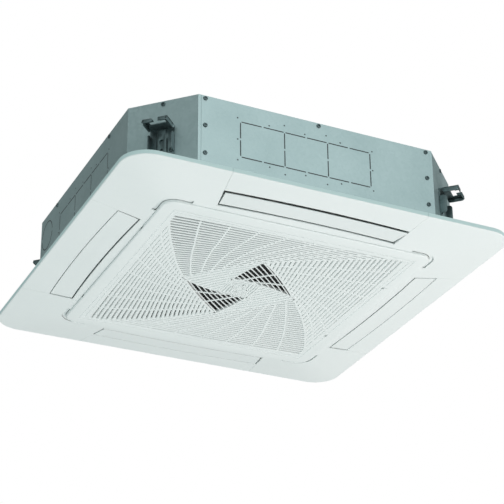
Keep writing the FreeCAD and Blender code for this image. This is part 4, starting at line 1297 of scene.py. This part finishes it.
                def on_edge(place: Vector) -> bool:
                    """Say whether a vertex lies on this edge of a slat in this column."""
                    pitches = (place.y - side) / level.pitch
                    in_column = abs(place.x - along) <= 0.1 and place.y < 0.1
                    return in_column and abs(pitches - round(pitches)) < 0.1

                flat.pick(on_edge).scale((1, share, 1), (0, side, 0)).move((0, move + away, 0))
        flat.pick_all().move((0, -away, 0)).extrude((0, 0, level.height))
        flat.tidy()
        flat.rim(lambda place: place.z < low + 0.1).bevel(self.slat_round, 2)
        laid = flat.turned("slats", 90)
        flat.drop()
        return laid

    def sector(self, level: WhirlLevel) -> Bench:
        """Left sector of one whirl: curved slats between two arms, with one arm and its ribs.

        Args:
            level: sizes of the whirl.

        Returns:
            The bench with the sector on it, not yet turned.
        """
        quarter = Matrix.Rotation(-math.pi / 2, 3, "Z")
        start, end = self.start * level.scale, self.junction * level.scale
        arm = WhirlCurve(start, end, self.heading)
        after = WhirlCurve(quarter @ start, quarter @ end, self.heading - 90)
        slats = self.slats(level)
        curves = [arm, after]
        if level.scale < 1:
            spun = Matrix.Rotation(math.radians(self.turn), 3, "Z")
            first, last = spun @ start / self.shrink, spun @ end / self.shrink
            curves.append(WhirlCurve(first, last, self.heading + self.turn))
        middle = Vector((-self.sector_middle * level.scale, 0, 0))
        for curve in curves:
            tool = Bench.drum("arc_tool", curve.centre, curve.reach, self.panel.low, 0, self.arc_sides)
            slats.carve(tool, Keep.INSIDE if curve.holds(middle) else Keep.OUTSIDE)
        top = self.face + level.height
        pieces = [arm.strip("arm", level.arm, self.face - self.arm_drop, top),
                  Bench.drum("knot", end, level.arm, self.face, top, self.knot_sides)]
        vertex = quarter.inverted() @ end
        for bay in range(1, level.bays):
            share = bay / level.bays
            along = start.y + (after.start.y - start.y) * share
            outer = Vector((-level.edge(along) - level.pitch, along, 0))
            rib = WhirlCurve(outer, arm.towards(vertex, share), self.heading_inner - 90 * share)
            pieces.append(rib.strip("rib", level.rib, self.face + self.rib_lift, top))
        return slats.join(pieces)

    def hub(self) -> Bench:
        """Small domed cap in the middle of the whirl."""
        level = self.levels()[-1]
        half = self.junction.length * level.scale / math.sqrt(2) + 1
        cap = Bench.square("hub_cap", half, self.face + 0.5, self.face + self.slat_height)
        cap.pick(lambda place: place.z < self.face + 1, "FACE")
        bpy.ops.mesh.inset(thickness=self.hub_inset * MM)
        cap.move((0, 0, -self.hub_dome)).soften(0.6)
        turned = cap.turned("hub_cap_turned", level.turn - 45)
        cap.drop()
        return turned

    def build(self) -> None:
        """Build the grille in one piece that stands for the CAD grille."""
        piece = self.border()
        whirl = self.hub()
        parts = []
        for level in self.levels():
            sector = self.sector(level)
            sector.smooth(30)
            for quarter in level.quarters:
                parts.append(sector.turned("sector", 90 * quarter + level.turn))
            sector.drop()
        whirl.join(parts)
        whirl.pick(lambda place: place.to_2d().length < self.shift_core)
        step, fade = Vector((*self.shift, 0)) * MM, self.shift_fade * MM
        bpy.ops.transform.translate(value=step, use_proportional_edit=True, proportional_size=fade,
                                    proportional_edit_falloff="SMOOTH")
        piece.join([whirl])
        piece.finish(self.palette["grille_white"], "grille", "grille_white", ["intake_grille"])


@dataclass
class Bracket:
    """Hanger bracket of a chamfered corner, modelled along +X; drops are measured down from its top."""

    palette: Palette
    start: float = 502.05
    top: float = 137.0
    half: float = 29.0
    reach: float = 48.0
    sheet: float = 2.6
    slot: tuple[float, float] = (24.0, 34.0)
    slot_half: float = 18.5
    mouth_start: float = 30.0
    mouth_half: float = 7.0
    web_drop: float = 78.0
    bead_half: float = 14.0
    bead_depth: float = 4.0
    bead_drops: tuple[float, float] = (76.0, 6.0)
    bead_taper: tuple[float, float] = (0.72, 0.94)
    bead_holes: tuple[tuple[float, float], ...] = ((38.0, 5.0), (60.0, 3.2))
    strip_start: float = 9.0
    strip_drop: float = 12.0
    strip_round: float = 5.0
    ear_reach: float = 18.0
    ear_drops: tuple[float, float] = (66.0, 20.0)
    ear_round: float = 7.0
    lip_middle: float = 18.0
    lip_half: float = 11.0
    lip_drop: float = 9.0
    tuck: float = 0.4
    through: float = 30.0

    @property
    def end(self) -> float:
        """Place of the outer edge."""
        return self.start + self.reach

    def flange(self) -> Bench:
        """Level flange with a cross slot and a mouth for the hanger rod."""
        low, high = self.top - self.through, self.top + self.through
        flange = Bench.block("hanger_flange", (self.start, -self.half, self.top - self.sheet),
                             (self.end, self.half, self.top))
        first, last = self.start + self.slot[0], self.start + self.slot[1]
        flange.carve(Bench.block("slot_tool", (first, -self.slot_half, low), (last, self.slot_half, high)))
        flange.carve(Bench.block("mouth_tool", (self.start + self.mouth_start, -self.mouth_half, low),
                                 (self.end + 5, self.mouth_half, high)))
        return flange.soften(0.9, 3)

    def back(self) -> list[Bench]:
        """Web on the casing, and the bead pressed into it with its two holes."""
        start, face = self.start, self.start + self.sheet
        web = Bench.block("web", (start, -self.half, self.top - self.web_drop),
                          (face, self.half, self.top - 0.5))
        web.soften(0.7)
        low, high = (self.top - drop for drop in self.bead_drops)
        bead = Bench.block("bead", (face - 0.5, -self.bead_half, low),
                           (face + self.bead_depth, self.bead_half, high))
        bead.pick(lambda place: place.x > face).scale((1, *self.bead_taper), (start, 0, (low + high) / 2))
        for drop, radius in self.bead_holes:
            hole = Bench.drum("hole", (0, 0), radius, -20, 20, 24)
            laid = hole.turned("hole_laid", 90, "Y")
            hole.drop()
            laid.pick_all().move((start, 0, self.top - drop))
            bead.carve(laid)
        return [web, bead.soften(0.9)]

    def cheek(self, side: int) -> list[Bench]:
        """Folded strip, ear and lip on one side.

        Args:
            side: -1 for the left side seen from outside, 1 for the right one.

        Returns:
            The three pieces.
        """
        start, end, top, wall = self.start, self.end, self.top, self.sheet / 2
        edge, tucked = side * (self.half - wall), self.top - self.tuck
        strip = Bench.block("strip", (start + self.strip_start, edge - wall, top - self.strip_drop),
                            (end, edge + wall, tucked))
        along = (start + self.strip_start + end) / 2
        below = top - self.strip_drop / 2
        strip.pick(lambda place: place.z < below and abs(place.x - along) > 10, "EDGE")
        strip.bevel(self.strip_round, 4)
        low, high = (top - drop for drop in self.ear_drops)
        ear = Bench.block("ear", (start, edge - wall, low), (start + self.ear_reach, edge + wall, high))
        out, level = start + self.ear_reach / 2, (low + high) / 2
        ear.pick(lambda place: place.x > out and abs(place.z - level) > 10, "EDGE").bevel(self.ear_round, 5)
        middle = side * self.lip_middle
        lip = Bench.block("lip", (end - self.sheet, middle - self.lip_half, top - self.lip_drop),
                          (end, middle + self.lip_half, tucked))
        return [strip.soften(0.6), ear.soften(0.6), lip.soften(0.7)]

    def build(self) -> None:
        """Build one bracket and copy it to each corner."""
        piece = self.flange()
        piece.join(self.back() + self.cheek(-1) + self.cheek(1)).smooth()
        for corner in Corner:
            name = corner.name.lower()
            copy = piece.turned("hanger_skin_" + name, 90 * corner.value - 135)
            # The brackets take the darkened bracket steel, which is painted shade.
            copy.finish(self.palette["bracket_steel"], "unit", "bracket_steel", ["hanger_bracket_" + name])
        piece.drop()


@dataclass
class Casing:
    """Sheet casing's small things: front sheet, pan-head screws, and painted shade of the knock-out slots and
    pilot holes.
    """

    palette: Palette
    bracket: Bracket
    half: float = 415.0
    lap: float = 0.9
    lap_half: float = 289.5
    lap_levels: tuple[float, float] = (1.0, 206.0)
    screw_radius: float = 5.2
    screw_height: float = 2.6
    screw_round: float = 1.4
    recess_long: float = 2.6
    recess_short: float = 0.6
    recess_floor: float = 1.4
    screw_across: float = 280.0
    screw_levels: tuple[float, float, float] = (60.0, 130.0, 199.0)
    side_screw_across: float = 178.0
    bracket_screw_across: float = 21.5
    bracket_screw_level: float = 76.0
    slot_width: float = 2.6
    slot_bridge: float = 5.0
    mark_sunk: float = -0.05
    mark_proud: float = 0.12
    cell: float = 108.4
    cells: int = 3
    row_low: float = 70.0
    row_high: float = 160.0
    front_start: float = -195.0
    left_start: float = -153.2
    ring_place: tuple[float, float] = (-248.0, 149.0)
    ring_radius: float = 37.0
    ring_bridge: float = 4.5
    pilot_radius: float = 1.9
    pilots_before: tuple[float, tuple[float, ...]] = (7.0, (169.0, 114.0, 61.0))
    pilots_after: tuple[float, tuple[float, ...]] = (6.0, (165.0, 115.0, 62.0))
    pilots_along: tuple[tuple[float, float], ...] = ((0.65, 8), (1.0, 18), (1.47, 8), (1.97, 18), (2.3, 8))

    def on_wall(self, turn: float, across: float, distance: float, level: float) -> Matrix:
        """Placing of a thing, modelled upright, on a wall that faces the front before a turn about Z."""
        there = Matrix.Translation(Vector((across, -distance, level)) * MM)
        return Matrix.Rotation(math.radians(turn), 4, "Z") @ there @ Matrix.Rotation(math.pi / 2, 4, "X")

    def scatter(self, thing: Bench, name: str, places: Sequence[WallPlace]) -> Bench:
        """Copy one small thing to many wall places, drop the model and join the copies.

        Args:
            thing: the model, upright at the origin.
            name: name of the joined piece.
            places: turn, place across, distance from the middle and level of each copy.

        Returns:
            The bench with the joined copies on it.
        """
        copies = [thing.shifted("copy", self.on_wall(*place)) for place in places]
        thing.drop()
        copies[0].obj.name = name
        return copies[0].join(copies[1:])

    def distance(self, turn: float) -> float:
        """Distance of a wall's face from the middle; the front has a second sheet."""
        return self.half + (self.lap if turn == 0 else 0)

    def rows(self) -> list[tuple[float, float]]:
        """Turn of each wall that has knock-outs, and the start of its row."""
        return [(0, self.front_start), (-90, self.left_start)]

    def front_sheet(self) -> None:
        """Front sheet, whose upright edges lie over the chamfers' flanges."""
        sheet = Bench.block("front_sheet", (-self.lap_half, -self.half - self.lap, self.lap_levels[0]),
                            (self.lap_half, -self.half + 0.1, self.lap_levels[1]))
        sheet.soften(0.35).smooth().flatten()
        sheet.finish(self.palette["galvanised_sheet"], "unit", "galvanised_sheet")

    def screw(self) -> Bench:
        """Pan-head screw with a cross recess."""
        screw = Bench.drum("screw", (0, 0), self.screw_radius, 0, self.screw_height, 24)
        screw.rim(lambda place: place.z > 2).bevel(self.screw_round, 4)
        pair = (self.recess_long, self.recess_short)
        for wide, tall in (pair, pair[::-1]):
            screw.carve(Bench.block("recess", (-wide, -tall, self.recess_floor), (wide, tall, 4)))
        return screw.smooth()

    def screws(self) -> None:
        """Screws along the sheets' edges and on the brackets."""
        screw = self.screw()
        top = self.screw_levels[-1]
        across = self.screw_across
        places: list[WallPlace] = []
        for turn in (0, 180):
            wall = self.distance(turn)
            places += [(turn, place, wall, level)
                       for place in (-across, across) for level in self.screw_levels]
            places.append((turn, 0, wall, top))
        for turn in (-90, 90):
            places += [(turn, side * self.side_screw_across, self.half, top) for side in (-1, 1)]
        face = self.bracket.start + self.bracket.sheet
        for turn in (-45, 45, 135, 225):
            places.append((turn, 0, self.bracket.start, top))
            places += [(turn, side * self.bracket_screw_across, face, self.bracket_screw_level)
                       for side in (-1, 1)]
        scattered = self.scatter(screw, "casing_screws", places)
        # The screws take the near-black steel, which is painted shade.
        scattered.finish(self.palette["screw_steel"], "unit", "bracket_steel")

    def slots(self) -> list[Bench]:
        """Dark strips painted as the shade in the sheared slots along and between the rows of knock-outs."""
        high, low, middle = self.row_high, self.row_low, (self.row_low + self.row_high) / 2
        long, tall = self.cell / 2 - self.slot_bridge, (high - low) / 2 - self.slot_bridge
        wide = self.slot_width / 2
        lines: list[WallPlace] = []
        posts: list[WallPlace] = []
        for turn, start in self.rows():
            wall = self.distance(turn)
            for half_cell in range(2 * self.cells):
                across = start + self.cell * (half_cell + 0.5) / 2
                lines += [(turn, across, wall, level) for level in (low, high)]
            for line in range(self.cells + 1):
                across = start + self.cell * line
                posts += [(turn, across, wall, middle + side * (high - low) / 4) for side in (-1, 1)]
        sunk, proud = self.mark_sunk, self.mark_proud
        flat = Bench.block("slot", (-long / 2, -wide, sunk), (long / 2, wide, proud))
        marks = self.scatter(flat, "knockout_slots", lines)
        upright = Bench.block("slot", (-wide, -tall / 2, sunk), (wide, tall / 2, proud))
        return [marks, self.scatter(upright, "knockout_posts", posts)]

    def ring(self) -> Bench:
        """Dark ring painted as the shade in the round knock-out's cut in the left sheet, held by two bridges.
        """
        wide, bridge = self.slot_width / 2, self.ring_bridge
        ring = Bench.drum("ring", (0, 0), self.ring_radius + wide, self.mark_sunk, self.mark_proud, 64)
        ring.carve(Bench.drum("ring_core", (0, 0), self.ring_radius - wide, -5, 5, 64))
        ring.carve(Bench.block("ring_bridge", (-60, -bridge, -5), (60, bridge, 5)))
        across, level = self.ring_place
        return self.scatter(ring, "knockout_ring", [(-90, across, self.half, level)])

    def pilots(self) -> Bench:
        """Dark discs painted as the shade in the pilot holes round the rows of knock-outs."""
        hole = Bench.drum("pilot", (0, 0), self.pilot_radius, self.mark_sunk, self.mark_proud, 16)
        places: list[WallPlace] = []
        for turn, start in self.rows():
            before = start - self.pilots_before[0]
            after = start + self.cells * self.cell + self.pilots_after[0]
            spots = [(before, level) for level in self.pilots_before[1]]
            spots += [(after, level) for level in self.pilots_after[1]]
            for line, lift in self.pilots_along:
                across = start + self.cell * line
                spots += [(across, self.row_high + lift), (across, self.row_low - lift - 1)]
            places += [(turn, across, self.distance(turn), level) for across, level in spots]
        return self.scatter(hole, "pilot_holes", places)

    def marks(self) -> None:
        """Painted shade of the knock-out slots, the round knock-out and the pilot holes, as dark pieces
        joined in one.
        """
        first, *others = self.slots()
        first.join([*others, self.ring(), self.pilots()])
        # Painted shade: the openings' darkness is drawn as dark strips laid on the sheet, not as cuts.
        first.finish(self.palette["terminal_dark"], "unit", "terminal_dark")

    def build(self) -> None:
        """Build all of the casing's small things and its brackets."""
        self.front_sheet()
        self.screws()
        self.marks()
        self.bracket.build()


@dataclass(frozen=True)
class Lamp:
    """Square soft lamp, with its place, aim and size in metres and its power in watts."""

    name: str
    place: Point
    aim: Point
    size: float
    power: float
    colour: Colour

    def hang(self) -> None:
        """Add the lamp to the scene."""
        data = bpy.data.lights.new(self.name, "AREA")
        data.color = self.colour
        data.size = self.size
        data.energy = self.power
        lamp = bpy.data.objects.new(self.name, data)
        lamp.location = self.place
        lamp.rotation_euler = (Vector(self.aim) - Vector(self.place)).to_track_quat("-Z", "Y").to_euler()
        bpy.context.scene.collection.objects.link(lamp)


@dataclass
class Studio:
    """Camera at the photograph's viewing angle, soft light, a pale floor and a white backdrop."""

    azimuth: float = -25.36
    elevation: float = -27.47
    roll: float = -0.45
    distance: float = 4100.4
    shift_right: float = 24.6
    shift_up: float = 65.9
    focal_pixels: float = 1702.0
    frame_pixels: float = 504.0
    sensor: float = 36.0
    floor_level: float = -5200.0
    strength: float = 0.46
    mirrored_back: float = 0.27
    mirrored_front: float = 1.0
    mirrored_range: tuple[float, float] = (-0.8, -0.2)
    tint: Colour = (0.85, 1.0, 1.0)
    lamps: tuple[Lamp, ...] = (
        Lamp("key", (-2.2, -1.5, -3.6), (0, 0, 0), 2.5, 57, (0.97, 1.0, 1.0)),
        Lamp("fill", (2.8, -0.9, -2.4), (0, 0, 0), 2.2, 82, (1.0, 0.90, 0.89)),
        Lamp("top", (0.4, -3.6, 0.9), (0, 0, 0.1), 2.0, 16, (1.0, 1.0, 1.0)),
        Lamp("sky", (0.6, 0.8, 4.4), (0, 0, 0), 3.5, 90, (1.0, 0.97, 0.96)),
    )

    def camera(self) -> None:
        """Place the camera that was fitted to the photograph."""
        azimuth, elevation, roll = map(math.radians, (self.azimuth, self.elevation, self.roll))
        level = math.cos(elevation)
        back = Vector((math.sin(azimuth) * level, -math.cos(azimuth) * level, math.sin(elevation)))
        right = (-back).cross(Vector((0, 0, 1))).normalized()
        up = right.cross(-back)
        right, up = right * math.cos(roll) + up * math.sin(roll), up * math.cos(roll) - right * math.sin(roll)
        place = back * self.distance + right * self.shift_right + up * self.shift_up
        data = bpy.data.cameras.new("camera")
        data.sensor_width = self.sensor
        data.lens = self.focal_pixels / self.frame_pixels * self.sensor
        data.clip_end = 60
        camera = bpy.data.objects.new("camera", data)
        camera.matrix_world = Matrix.Translation(place * MM) @ Matrix((right, up, back)).transposed().to_4x4()
        bpy.context.scene.collection.objects.link(camera)
        bpy.context.scene.camera = camera

    def world(self) -> None:
        """White backdrop for what is seen, a softer even light, and a darker back for what is mirrored."""
        world = bpy.data.worlds.new("studio")
        bpy.context.scene.world = world
        sky = Nodes(world, "Background")
        rays = sky.node("ShaderNodeLightPath", {}, {}).socket.node.outputs
        camera, glossy, through = (Value(sky, rays["Is %s Ray" % kind])
                                   for kind in ("Camera", "Glossy", "Transmission"))
        seen = camera.largest(through)
        place = sky.node("ShaderNodeTexCoord", {}, {}, "Generated")
        depth = sky.node("ShaderNodeSeparateXYZ", {}, {0: place}, "Y")
        low, high = self.mirrored_range
        mirrored = sky.node("ShaderNodeMapRange", {}, {"Value": depth, "From Min": low, "From Max": high,
                                                       "To Min": self.mirrored_front,
                                                       "To Max": self.mirrored_back})
        lit = sky.node("ShaderNodeMix", {}, {"Factor": glossy, "A": self.strength, "B": mirrored}, "Result")
        sky.feed("Strength", sky.node("ShaderNodeMix", {}, {"Factor": seen, "A": lit, "B": 1.0}, "Result"))
        sky.feed("Color", sky.mix(seen, self.tint, (1, 1, 1)))

    def floor(self) -> None:
        """Pale floor far below the hung unit."""
        Bench.clear()
        bpy.ops.mesh.primitive_plane_add(size=30, location=(0, 0, self.floor_level * MM))
        floor = bpy.context.active_object
        floor.name = "floor"
        shader = Shader("floor_pale")
        cloud = shader.noise(0.8, 3.0)
        shader.feed("Base Color", shader.mix(cloud, (0.86, 0.87, 0.87), (0.82, 0.83, 0.83)))
        shader.feed("Roughness", cloud * 0.1 + 0.7)
        floor.data.materials.append(shader.material)

    def build(self) -> None:
        """Set up the whole studio."""
        self.camera()
        self.floor()
        self.world()
        for lamp in self.lamps:
            lamp.hang()


def main() -> None:
    """Load the frame, build and dress every piece, and note the sizes."""
    logging.basicConfig(level=logging.INFO, format="%(message)s")
    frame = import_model()
    scene = bpy.context.scene
    scene.view_settings.view_transform = "Standard"
    palette = Palette()
    palette.mix()
    palette.dress(frame["nodes"], frame["record"]["subparts"])
    panel = Panel(palette)
    panel.build()
    Grille(palette, panel).build()
    Casing(palette, Bracket(palette)).build()
    Studio().build()
    Bench.clear()


if __name__ == "__main__":
    main()
